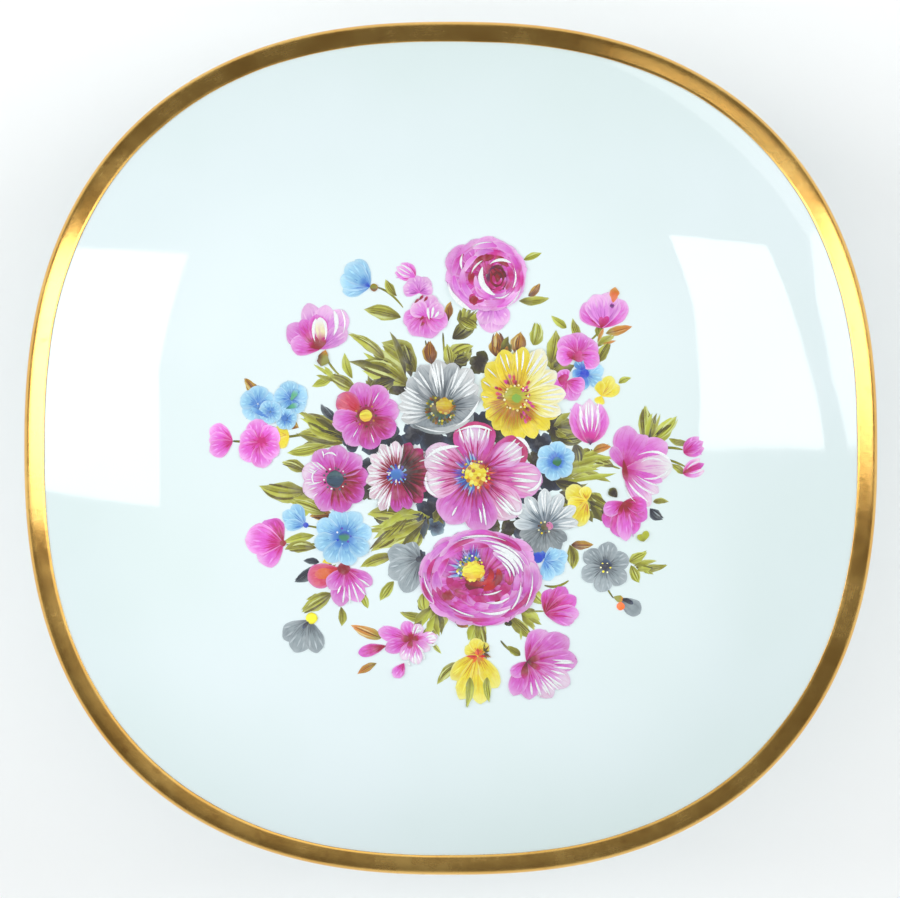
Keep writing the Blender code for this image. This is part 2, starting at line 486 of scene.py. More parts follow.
DEEPEN = 1.32  # power on the paints' linear values, over 1, so that they fire darker and richer
STEP = 0.0018 * MM  # each stroke lies this much higher than the one painted before it
LAYER = 0.030 * MM  # and each layer of the bouquet this much
SUNK = 0.010 * MM  # how far the underside of a stroke lies in the glaze
RAISED = 0.045 * MM  # crown of a white relief stroke
SOFT = 0.010 * MM  # crown of an ordinary stroke
TINT = 7  # how far a stroke's colour strays, on the scale of 0 to 255
SLIM = 0.7  # strokes narrower than this many millimetres get fewer facets
FEATHERED = 1.5  # petals wider than this get fine brush marks
BROAD_LEAF = 1.2  # leaves wider than this get twice the brush marks
GLAZE_IOR = 1.52

PALE = (244, 206, 240)
BLUSH = (235, 167, 232)
PINK = (227, 110, 214)
ROSE = (219, 70, 170)
MAGENTA = (201, 37, 135)
CRIMSON = (168, 14, 52)
SCARLET = (214, 40, 48)
WHITE = (250, 252, 252)
CREAM = (250, 246, 205)
LEMON = (240, 226, 60)
YELLOW = (243, 221, 32)
AMBER = (214, 150, 14)
ORANGE = (238, 130, 50)
LIME = (190, 196, 62)
OLIVE = (158, 158, 38)
MOSS = (104, 104, 30)
BROWN = (122, 76, 20)
BARK = (66, 52, 34)
SKY = (160, 208, 236)
BLUE = (96, 152, 216)
COBALT = (48, 84, 208)
VIOLET = (118, 92, 200)
TEAL = (60, 130, 140)
NAVY = (34, 38, 62)
SLATE = (84, 100, 120)
GREY = (152, 162, 166)
SILVER = (204, 214, 220)


def blend(first, second, share):
    """Two colours mixed, by an array of shares."""
    share = np.asarray(share)[..., None]
    return first * (1 - share) + np.array(second, float) * share


def fade(value):
    """Smoothly from 0 to 1."""
    value = np.clip(value, 0, 1)
    return value * value * (3 - 2 * value)


class Wash:
    """The colours of a stroke: its main one, and others at its start (inner), at its end
    (tip), at its rim and on its left or right half. Veins run along it."""

    def __init__(self, main, inner=None, tip=None, rim=None, left=None, right=None, vein=None,
                 veining=0.0):
        self.main = main
        self.inner = inner
        self.tip = tip
        self.rim = rim
        self.left = left
        self.right = right
        self.vein = vein
        self.veining = veining

    def at(self, along, side):
        """The sRGB colour at a share of the stroke's length, and from -1 on its right to 1."""
        mixed = np.broadcast_to(np.array(self.main, float), (*along.shape, 3))
        if self.left:
            mixed = blend(mixed, self.left, 0.9 * fade(side + 0.1))
        if self.right:
            mixed = blend(mixed, self.right, 0.9 * fade(0.1 - side))
        if self.inner:
            mixed = blend(mixed, self.inner, fade(1 - along / 0.5))
        if self.tip:
            mixed = blend(mixed, self.tip, fade((along - 0.5) / 0.5))
        if self.rim:
            outward = np.maximum(np.abs(side), 2 * along - 1)
            mixed = blend(mixed, self.rim, 0.7 * np.clip(outward, 0, 1) ** 4)
        return mixed


def linear(values):
    """An array of sRGB values, 0 to 255, as linear ones."""
    values = np.clip(values, 0, 255) / 255
    return np.where(values <= 0.04045, values / 12.92, ((values + 0.055) / 1.055) ** 2.4)


def curve(points, shares):
    """Points of the Bezier curve over two, three or four control points."""
    rows = [np.tile(np.array(point, float), (len(shares), 1)) for point in points]
    shares = shares[:, None]
    while len(rows) > 1:
        rows = [a * (1 - shares) + b * shares for a, b in zip(rows, rows[1:])]
    return rows[0]


def polar(x, y, angle, distance):
    """The point at a distance from another one, at an angle in degrees."""
    turn = math.radians(angle)
    return (x + distance * math.cos(turn), y + distance * math.sin(turn))


class Enamel:
    """One piece of the painting: strokes of enamel, each a thin closed island on the dome.
    Plan places and lengths are millimetres and angles degrees, from the row's +X to +Y."""

    def __init__(self, name, layer, depth=0.94):
        """The layer says how high it starts. depth is the share of light that its colours
        keep, on top of DEEPEN; over 1 it makes them paler."""
        self.name = name
        self.lift = layer * LAYER
        self.depth = depth
        self.random = random.Random(name)
        self.verts = []
        self.faces = []
        self.wash = []
        self.vein = []
        self.uv = []
        self.white = []

    def stroke(
        self, points, width, wash, peak=0.5, blunt=0.6, crown=SOFT, notch=0.0, white=False, ragged=0.05
    ):
        """A stroke along a curve. It is widest at the share peak of its length, and its ends
        are the rounder the less blunt is. A notch draws the middle of its end back, and
        ragged is how far its outline strays, as a share of its width."""
        along, side, plan, length = self.outline(points, width, peak, blunt, notch, ragged)
        x = plan[..., 0] * MM
        y = plan[..., 1] * MM
        glaze = dome_height(share_at(x, y))
        rise = (1 - side**2) * (1 - (2 * along - 1) ** 6)
        top = np.stack([x, y, glaze + self.lift + crown * rise], axis=-1)
        edge = self.add_island(top, glaze)
        colours = wash.at(along, side) + self.random.uniform(-TINT, TINT)
        vein = np.ones((*along.shape, 4))
        vein[..., :3] = linear(np.array(wash.vein or wash.main, float))
        vein[..., 3] = wash.veining * fade(1.25 - along) * fade(along * 6)
        start = self.random.uniform(0, 50)
        aside = self.random.uniform(0, 50)
        flat = np.stack([along * length / 10 + start, side * width / 20 + aside], axis=-1)
        for store, values in ((self.wash, linear(colours)), (self.vein, vein), (self.uv, flat)):
            rows = values.reshape(-1, values.shape[-1])
            store += rows.tolist() + rows[edge].tolist()
        self.white += [1.0 if white else 0.0] * (along.size + len(edge))
        self.lift += STEP

    def outline(self, points, width, peak, blunt, notch, ragged):
        """A grid over a stroke: shares along it, places across it from -1 to 1, and the
        points in plan. The stroke's length comes last."""
        slim = width < SLIM
        along_steps = 10 if slim else 16
        side_steps = 2 if slim else 8
        shares = (1 - np.cos(np.linspace(0, math.pi, along_steps + 1))) / 2
        spine = curve(points, shares)
        ahead = curve(points, np.clip(shares + 0.01, 0, 1))
        heading = ahead - curve(points, np.clip(shares - 0.01, 0, 1))
        heading /= np.linalg.norm(heading, axis=1)[:, None]
        leftward = np.stack([-heading[:, 1], heading[:, 0]], axis=1)
        power = math.log(0.5) / math.log(peak)
        half = np.sin(math.pi * np.clip(shares, 0, 1) ** power).clip(0) ** blunt
        half = np.maximum(half, 0.03) * width / 2
        across = np.linspace(-1, 1, side_steps + 1)
        along, side = np.meshgrid(shares, across, indexing="ij")
        turns = [self.random.uniform(0, math.tau) for _ in range(5)]  # the last one is spare
        stray = np.sin(along * 9 + turns[0] + side) * 0.6
        stray += np.sin(along * 19 + turns[1] + side * 2) * 0.4
        spread = half[:, None] * across * (1 + ragged * stray)
        plan = spine[:, None] + leftward[:, None] * spread[..., None]
        length = np.linalg.norm(spine[-1] - spine[0])
        fringe = np.sin(side * 5 + turns[2]) * 0.5 + np.sin(side * 11 + turns[3]) * 0.5
        reaching = ragged * fringe * along**8 * width * 0.8
        plan = plan + heading[:, None] * reaching[..., None]
        if notch:
            drawn_back = notch * length * along**6 * (1 - np.abs(side)) ** 1.5
            plan = plan - heading[:, None] * drawn_back[..., None]
        return along, side, plan, length

    def add_island(self, top, glaze):
        """Closes the grid of a stroke's top with a wall and an underside, which lie SUNK into
        the glaze. Returns which points of the grid run round its edge."""
        rows, columns = glaze.shape
        index = np.arange(rows * columns).reshape(rows, columns)
        edge = np.concatenate([index[:, 0], index[-1, 1:], index[-2::-1, -1], index[0, -2:0:-1]])
        top = top.reshape(-1, 3)
        bottom = top[edge].copy()
        bottom[:, 2] = glaze.reshape(-1)[edge] - SUNK
        first = len(self.verts)
        self.verts += top.tolist() + bottom.tolist()
        for row in range(rows - 1):
            for column in range(columns - 1):
                low = first + index[row, column]
                high = first + index[row + 1, column]
                self.faces.append((low, high, high + 1, low + 1))
        under = [first + rows * columns + step for step in range(len(edge))]
        for step in range(len(edge)):
            turn = (step + 1) % len(edge)
            here = first + edge[step]
            there = first + edge[turn]
            self.faces.append((here, under[step], under[turn], there))
        self.faces.append(tuple(under[::-1]))
        return edge

    def petal(self, x, y, angle, length, width, wash, bend=0.0, **shape):
        """A stroke from a point; bend moves its middle to the left."""
        middle = polar(*polar(x, y, angle, length / 2), angle + 90, bend)
        shape.setdefault("peak", 0.64)
        shape.setdefault("blunt", 0.52)
        self.stroke([(x, y), middle, polar(x, y, angle, length)], width, wash, **shape)

    def petals(self, x, y, wash, shapes, start=0.0, **shape):
        """Petals about a point, each (angle, length, width); start is how far out they begin."""
        for angle, length, width in shapes:
            place = polar(x, y, angle, start)
            bend = self.random.uniform(-0.04, 0.04) * length
            self.petal(*place, angle, length - start, width, wash, bend, **shape)
            if width > FEATHERED:
                self.feather(*place, angle, length - start, width, wash)

    def feather(self, x, y, angle, length, width, wash):
        """Fine brush marks on a petal: dark ones out of its throat, light ones near its tip."""
        spread = math.degrees(math.atan2(width * 0.42, length * 0.64))
        dark = Wash(wash.vein or wash.main, tip=wash.main)
        light = Wash(wash.tip or wash.rim or wash.main, inner=wash.main)
        for step in range(4):
            turn = angle + spread * ((step + 0.5) / 2 - 1) + self.random.uniform(-4, 4)
            near = length * self.random.uniform(0.05, 0.2)
            far = length * self.random.uniform(0.45, 0.72)
            self.mark(x, y, turn, near, far, 0.14 + 0.03 * width * self.random.random(), dark)
        for step in range(3):
            turn = angle + spread * ((step + 0.5) / 1.5 - 1) * 0.9 + self.random.uniform(-4, 4)
            near = length * self.random.uniform(0.5, 0.62)
            far = length * self.random.uniform(0.82, 0.95)
            self.mark(x, y, turn, near, far, 0.16 + 0.03 * width * self.random.random(), light)

    def mark(self, x, y, angle, near, far, width, wash):
        """A fine straight stroke along a ray from a point."""
        points = [polar(x, y, angle, near), polar(x, y, angle, far)]
        self.stroke(points, width, wash, peak=0.4, blunt=0.8)

    def arc(self, x, y, across, along, first, last, width, wash, **shape):
        """A stroke along an ellipse about a point, between two of its angles."""
        sweep = math.radians(last - first)
        handle = 4 / 3 * math.tan(sweep / 4)
        points = []
        for angle, sign in ((first, 1), (last, -1)):
            turn = math.radians(angle)
            here = (x + across * math.cos(turn), y + along * math.sin(turn))
            pull = (-across * math.sin(turn) * handle * sign, along * math.cos(turn) * handle * sign)
            ends = [here, (here[0] + pull[0], here[1] + pull[1])]
            points += ends if sign > 0 else ends[::-1]
        self.stroke(points, width, wash, **shape)

    def arcs(self, x, y, across, along, first, last, count, width, washes):
        """Brush strokes that overlap round an ellipse, of uneven length, place and width."""
        step = (last - first) / count
        for index in range(count):
            start = first + step * (index - 0.3) + self.random.uniform(-0.2, 0.2) * step
            stretch = self.random.uniform(0.94, 1.06)
            broad = width * self.random.uniform(0.75, 1.2)
            wash = washes[self.random.randrange(len(washes))]
            self.arc(x, y, across * stretch, along * stretch, start, start + step * 1.5, broad, wash)

    def dot(self, x, y, radius, wash, **shape):
        """A round stroke, twice as raised as others unless shape says otherwise."""
        shape.setdefault("crown", SOFT * 2)
        self.stroke([(x - radius, y), (x + radius, y)], radius * 2, wash, blunt=0.5, **shape)

    def light(self, points, width):
        """A raised stroke of white enamel."""
        self.stroke(points, width, Wash(WHITE), crown=RAISED, peak=0.6, white=True, ragged=0.12)

    def relief(self, rows):
        """Raised white strokes, each (points, width)."""
        for points, width in rows:
            self.light(points, width)

    def lights(self, x, y, shapes, width):
        """White strokes along rays from a point, each (angle, start, end)."""
        for angle, start, end in shapes:
            bend = self.random.uniform(-0.12, 0.12)
            near = polar(x, y, angle, start)
            far = polar(x, y, angle + self.random.uniform(-4, 4), end)
            middle = polar(x, y, angle + 90, bend)
            centre = ((near[0] + far[0]) / 2 + middle[0] - x, (near[1] + far[1]) / 2 + middle[1] - y)
            self.light([near, centre, far], width)

    def stamens(self, x, y, radius, count, washes, size, first=0, last=360):
        """Dots round an eye, between two angles."""
        for step in range(count):
            angle = first + (last - first) * step / count + self.random.uniform(-6, 6)
            place = polar(x, y, angle, radius * self.random.uniform(0.9, 1.12))
            self.dot(*place, size * self.random.uniform(0.8, 1.2), washes[step % len(washes)])

    def leaf(self, x, y, to_x, to_y, width, tone, bend):
        """A two-tone leaf with brush marks and a midrib, from its stalk to its tip."""
        middle = ((x + to_x) / 2 - (to_y - y) * bend, (y + to_y) / 2 + (to_x - x) * bend)
        spine = [(x, y), middle, (to_x, to_y)]
        wash = LEAVES[tone]
        peak = self.random.uniform(0.38, 0.54)
        self.stroke(spine, width, wash, peak=peak, blunt=self.random.uniform(0.75, 1.0), ragged=0.10)
        length = math.hypot(to_x - x, to_y - y)
        heading = ((to_x - x) / length, (to_y - y) / length)
        for side in (-1, -0.5, 0.5, 1) if width > BROAD_LEAF else (-0.7, 0.7):
            out = side * width * self.random.uniform(0.36, 0.56)
            bowed = (middle[0] - heading[1] * out, middle[1] + heading[0] * out)
            share = self.random.uniform(0.78, 1.02)
            tip = (
                x + (to_x - x) * share - heading[1] * out * 0.3,
                y + (to_y - y) * share + heading[0] * out * 0.3,
            )
            tones = (wash.left, wash.right, wash.vein, wash.rim, wash.inner)
            brush = Wash(tones[self.random.randrange(5)] or wash.main, inner=wash.inner)
            fine = width * self.random.uniform(0.10, 0.22)
            self.stroke([(x, y), bowed, tip], fine, brush, peak=0.6, ragged=0.2)
        close = [(x, y), middle, ((to_x * 5 + middle[0]) / 6, (to_y * 5 + middle[1]) / 6)]
        self.stroke(close, 0.15, Wash(wash.vein), peak=0.3)

    def finish(self):
        """Turns the strokes into a mesh on the lid."""
        mesh = bpy.data.meshes.new(self.name)
        mesh.from_pydata(self.verts, [], self.faces)
        for name, values in (("wash", self.wash), ("vein", self.vein)):
            attribute = mesh.color_attributes.new(name=name, type="FLOAT_COLOR", domain="POINT")
            values = np.array(values)
            values[:, :3] = self.depth * values[:, :3] ** DEEPEN
            if values.shape[1] == 3:
                values = np.hstack([values, np.ones((len(values), 1))])
            attribute.data.foreach_set("color", values.ravel())
        attribute = mesh.attributes.new(name="white", type="FLOAT", domain="POINT")
        attribute.data.foreach_set("value", self.white)
        uv = mesh.uv_layers.new(name="UVMap")
        flat = np.array(self.uv)
        corners = np.empty(len(mesh.loops), int)
        mesh.loops.foreach_get("vertex_index", corners)
        uv.data.foreach_set("uv", flat[corners].ravel())
        obj = link("painted_" + self.name, mesh, enamel, "lid")
        mesh.set_sharp_from_angle(angle=math.radians(35))
        return obj


LEAVES = {
    "olive": Wash((178, 178, 60), inner=(128, 120, 30), left=(200, 202, 96), right=(152, 148, 44),
                  rim=(216, 222, 158), vein=(122, 112, 28), veining=0.5),
    "lime": Wash((200, 206, 84), inner=(164, 164, 52), left=(214, 220, 112), right=(176, 178, 58),
                 rim=(222, 230, 168), vein=(146, 142, 40), veining=0.4),
    "dark": Wash((128, 124, 42), inner=(74, 64, 34), left=(160, 158, 62), right=(94, 88, 40),
                 rim=(178, 180, 120), vein=(66, 58, 28), veining=0.6),
    "brown": Wash((200, 146, 34), inner=(120, 70, 20), left=(196, 160, 50), right=(142, 88, 24),
                  rim=(222, 204, 140), vein=(100, 54, 16), veining=0.6),
    "rust": Wash((214, 158, 74), inner=(164, 158, 50), tip=(232, 150, 84), rim=(232, 214, 160),
                 vein=(150, 96, 36), veining=0.4),
    "night": Wash((96, 106, 112), inner=NAVY, right=(54, 58, 74), rim=(174, 186, 190), vein=NAVY,
                  veining=0.5),
}


def enamel_material():
    """Overglaze enamels: washes with brush streaks, pigment grain and pooled edges, and thick
    white relief strokes, all fired glossy."""
    nodes = Nodes("overglaze_enamels")
    place = nodes.place()
    wash = nodes.add("ShaderNodeAttribute", attribute_name="wash").outputs["Color"]
    vein = nodes.add("ShaderNodeAttribute", attribute_name="vein")
    white = nodes.add("ShaderNodeAttribute", attribute_name="white").outputs["Fac"]
    streaks = nodes.noise(nodes.scaled(nodes.uv(), (4.0, 42.0, 1.0)), 1.0, 2.0)
    marked = nodes.math("MULTIPLY", nodes.fit(streaks, 0.50, 0.62), vein.outputs["Alpha"])
    paint = nodes.mix(marked, wash, vein.outputs["Color"])
    cloud = nodes.noise(place, 620.0, 3.0, 0.6)
    paint = nodes.mix(nodes.fit(cloud, 0.48, 0.80, 0.0, 0.12), paint, rgba(255, 255, 255))
    paint = nodes.mix(nodes.fit(cloud, 0.50, 0.22, 0.0, 0.30), paint, vein.outputs["Color"])
    grain = nodes.noise(place, 5200.0, 2.0)
    paint = nodes.mix(nodes.fit(grain, 0.62, 0.75, 0.0, 0.12), paint, rgba(60, 50, 60))
    milk = nodes.mix(nodes.fit(grain, 0.4, 0.6), rgba(226, 231, 232), rgba(238, 242, 243))
    nodes.set(Base_Color=nodes.mix(white, paint, milk))
    gloss = nodes.fit(grain, 0.3, 0.7, 0.10, 0.18)
    nodes.set(Roughness=nodes.math("SUBTRACT", gloss, nodes.math("MULTIPLY", white, 0.04)))
    relief = nodes.math("ADD", nodes.math("MULTIPLY", streaks, 0.7), nodes.math("MULTIPLY", grain, 0.3))
    nodes.set(Normal=nodes.bump(relief, 0.004 * MM))
    nodes.shader.inputs["IOR"].default_value = GLAZE_IOR
    return nodes.material


def ring(count, length, width, turn):
    """Even petals for Enamel.petals."""
    return [(turn + 360 * step / count, length, width) for step in range(count)]


# ---------------------------------------------------------------- the bouquet's washes

PETAL = Wash(PINK, inner=MAGENTA, tip=BLUSH, rim=PALE, vein=MAGENTA, veining=0.45)
PETAL_DEEP = Wash(ROSE, inner=CRIMSON, tip=PINK, rim=BLUSH, vein=CRIMSON, veining=0.6)
PETAL_PALE = Wash(BLUSH, inner=PINK, tip=PALE, rim=(252, 232, 248), vein=PINK, veining=0.5)
PETAL_LIT = Wash(BLUSH, inner=MAGENTA, tip=WHITE, rim=PALE, vein=ROSE, veining=0.7)
PETAL_RED = Wash(MAGENTA, inner=CRIMSON, tip=PINK, rim=BLUSH, vein=CRIMSON, veining=0.8)
PETAL_WARM = Wash(
    (232, 90, 130), inner=SCARLET, tip=(240, 130, 150), rim=BLUSH, vein=SCARLET, veining=0.5
)
LILAC = Wash((226, 150, 226), inner=PINK, tip=PALE, rim=PALE, vein=(190, 90, 190), veining=0.4)
STRIPED = Wash((246, 220, 236), inner=MAGENTA, rim=WHITE, vein=CRIMSON, veining=0.9)
DARK_RED = Wash(CRIMSON, inner=(96, 8, 40), tip=MAGENTA, rim=ROSE, vein=(96, 4, 34), veining=0.8)
SKY_PETAL = Wash(SKY, inner=BLUE, tip=(186, 228, 248), rim=(210, 236, 248), vein=BLUE, veining=0.4)
BLUE_PETAL = Wash(BLUE, inner=COBALT, tip=SKY, rim=SKY, vein=COBALT, veining=0.5)
GREY_PETAL = Wash(GREY, inner=(92, 100, 106), rim=(176, 184, 188), vein=(104, 112, 118), veining=0.5)
SILVER_PETAL = Wash(
    SILVER, inner=SLATE, tip=(228, 236, 238), rim=WHITE, vein=(120, 134, 144), veining=0.8
)
YELLOW_PETAL = Wash(
    YELLOW, inner=AMBER, tip=LEMON, rim=(246, 236, 130), vein=(190, 150, 10), veining=0.6
)
CREAM_PETAL = Wash(
    (247, 240, 140), inner=YELLOW, tip=CREAM, rim=WHITE, vein=(214, 196, 60), veining=0.7
)
SOFT_YELLOW = Wash(
    LEMON, inner=YELLOW, tip=(244, 238, 120), rim=(246, 244, 180), vein=AMBER, veining=0.3
)
SHADOW = Wash(NAVY, tip=SLATE, rim=SLATE, vein=(16, 18, 34), veining=0.6)
MIST = Wash(SLATE, inner=NAVY, tip=(150, 176, 190), rim=(176, 200, 206), vein=NAVY, veining=0.5)
STEM = Wash(OLIVE, inner=MOSS, vein=MOSS, veining=0.4)
EYE = Wash(
    (255, 244, 70), left=(255, 250, 110), right=(252, 196, 56), rim=(250, 214, 60), vein=AMBER,
    veining=0.5,
)
STREAK = Wash(CRIMSON, tip=ROSE)
THROAT = Wash(MAGENTA, inner=CRIMSON, tip=ROSE)
RED_EYE = Wash(CRIMSON, rim=ROSE)
BLUE_EYE = Wash(COBALT, rim=BLUE)
SOOT = Wash(NAVY, tip=SLATE)
SPOTS = [Wash(tone) for tone in (LEMON, BROWN, TEAL, CREAM)]
GOLD_SPOTS = [Wash(tone) for tone in ((255, 246, 120), (255, 236, 70), AMBER)]
BLUE_SPOTS = [Wash(tone) for tone in (COBALT, SKY, VIOLET, WHITE)]


# ---------------------------------------------------------------- foliage


def paint_shade():
    """Dark ground between the middle flowers: blots, each of a few ragged strokes."""
    shade = Enamel("shade", 0)
    moss = Wash(BARK, tip=MOSS, rim=MOSS, vein=(30, 26, 20), veining=0.6)
    blots = (
        (-6.4, 7.8, 2.4, moss), (-9.0, 6.4, 2.2, moss), (-12.4, 0.8, 2.0, SHADOW),
        (-9.6, 0.4, 2.2, SHADOW), (-7.4, 1.4, 2.4, SHADOW), (-4.6, 1.8, 2.4, SHADOW),
        (-2.0, 1.4, 2.6, SHADOW), (0.6, 1.6, 2.2, SHADOW), (3.8, 3.0, 2.6, SHADOW),
        (3.6, 10.6, 2.2, moss), (0.6, 10.8, 2.0, moss), (6.4, 1.4, 2.4, moss),
        (9.6, 1.4, 2.4, SHADOW), (11.2, 0.6, 2.2, SHADOW), (11.0, -1.4, 2.2, moss),
        (13.6, 2.8, 2.4, moss), (12.4, -4.0, 2.2, SHADOW), (10.4, -6.0, 2.0, SHADOW),
        (9.0, -9.6, 2.2, SHADOW), (7.2, -9.8, 1.8, moss), (5.2, -10.2, 1.8, moss),
        (-2.8, -5.4, 2.2, SHADOW), (-2.6, -8.0, 2.4, SHADOW), (-1.8, -10.0, 2.0, MIST),
        (-4.0, -9.4, 2.0, MIST), (-10.8, -5.4, 1.8, moss), (-8.6, -8.4, 1.8, moss),
        (-10.6, -2.2, 1.6, SHADOW), (-3.8, -13.6, 1.4, SHADOW), (-3.4, -19.6, 1.4, moss),
        (15.6, -2.0, 1.8, moss), (17.0, -1.4, 1.2, moss), (7.4, -22.0, 1.0, moss),
    )
    for index, (x, y, reach_out, wash) in enumerate(blots):
        shade.lift = 0.15 * (index % 3) * LAYER
        turn = shade.random.uniform(0, 90)
        for step in range(4):
            angle = turn + 90 * step + shade.random.uniform(-20, 20)
            length = reach_out * shade.random.uniform(0.75, 1.1)
            shade.petal(*polar(x, y, angle + 180, 0.5), angle, length, length * 0.8, wash, ragged=0.16)
    shade.finish()


def paint_stems():
    """Thin stalks of the outer flowers."""
    stems = Enamel("stems", 0)
    for points, width in (
        ([(-9.6, 20.4), (-7.6, 20.0), (-6.0, 17.7)], 0.30),
        ([(-15.8, 11.6), (-15.2, 10.2), (-14.0, 9.2)], 0.30),
        ([(-4.4, 21.7), (-3.6, 21.4), (-3.0, 20.4)], 0.26),
        ([(-27.6, 0.9), (-26.6, 0.8), (-25.4, 0.9)], 0.32),
        ([(-22.4, 1.2), (-19.0, 1.6), (-14.6, 2.4)], 0.34),
        ([(-1.0, 14.6), (-0.9, 13.0), (-0.8, 11.6)], 0.26),
        ([(-3.2, 13.6), (-3.0, 12.4), (-2.6, 11.0)], 0.26),
        ([(19.2, 15.3), (18.6, 14.4), (17.6, 13.6)], 0.28),
        ([(17.7, -0.1), (18.2, -1.2), (19.4, -2.0), (21.4, -2.6)], 0.34),
        ([(26.4, 0.0), (28.0, 0.2), (29.4, -0.2)], 0.34),
        ([(27.0, -1.4), (28.4, -1.6), (29.8, -2.4)], 0.30),
        ([(-20.8, -12.2), (-18.8, -12.4), (-16.8, -12.0)], 0.30),
        ([(-18.2, -9.8), (-17.2, -9.9), (-16.2, -10.2)], 0.26),
        ([(-17.4, -20.6), (-16.6, -19.6), (-16.0, -18.6)], 0.28),
        ([(6.3, -24.3), (7.0, -25.4), (8.6, -26.2)], 0.30),
        ([(8.6, -20.6), (10.2, -20.6), (11.8, -20.6)], 0.26),
        ([(3.6, -22.0), (3.4, -23.4), (3.4, -24.6)], 0.30),
        ([(-2.6, -22.2), (-3.2, -23.2), (-4.4, -24.0)], 0.26),
        ([(20.6, -19.0), (20.0, -18.2), (19.6, -17.4)], 0.22),
        ([(11.8, -17.3), (13.4, -17.9), (14.9, -16.7)], 0.34),
        ([(25.6, -15.2), (24.4, -14.8), (23.0, -14.6)], 0.26),
        ([(24.8, 1.0), (24.6, 0.2), (24.8, -0.8)], 0.26),
    ):
        stems.stroke(points, width, STEM, peak=0.5, blunt=0.3)
    stems.finish()


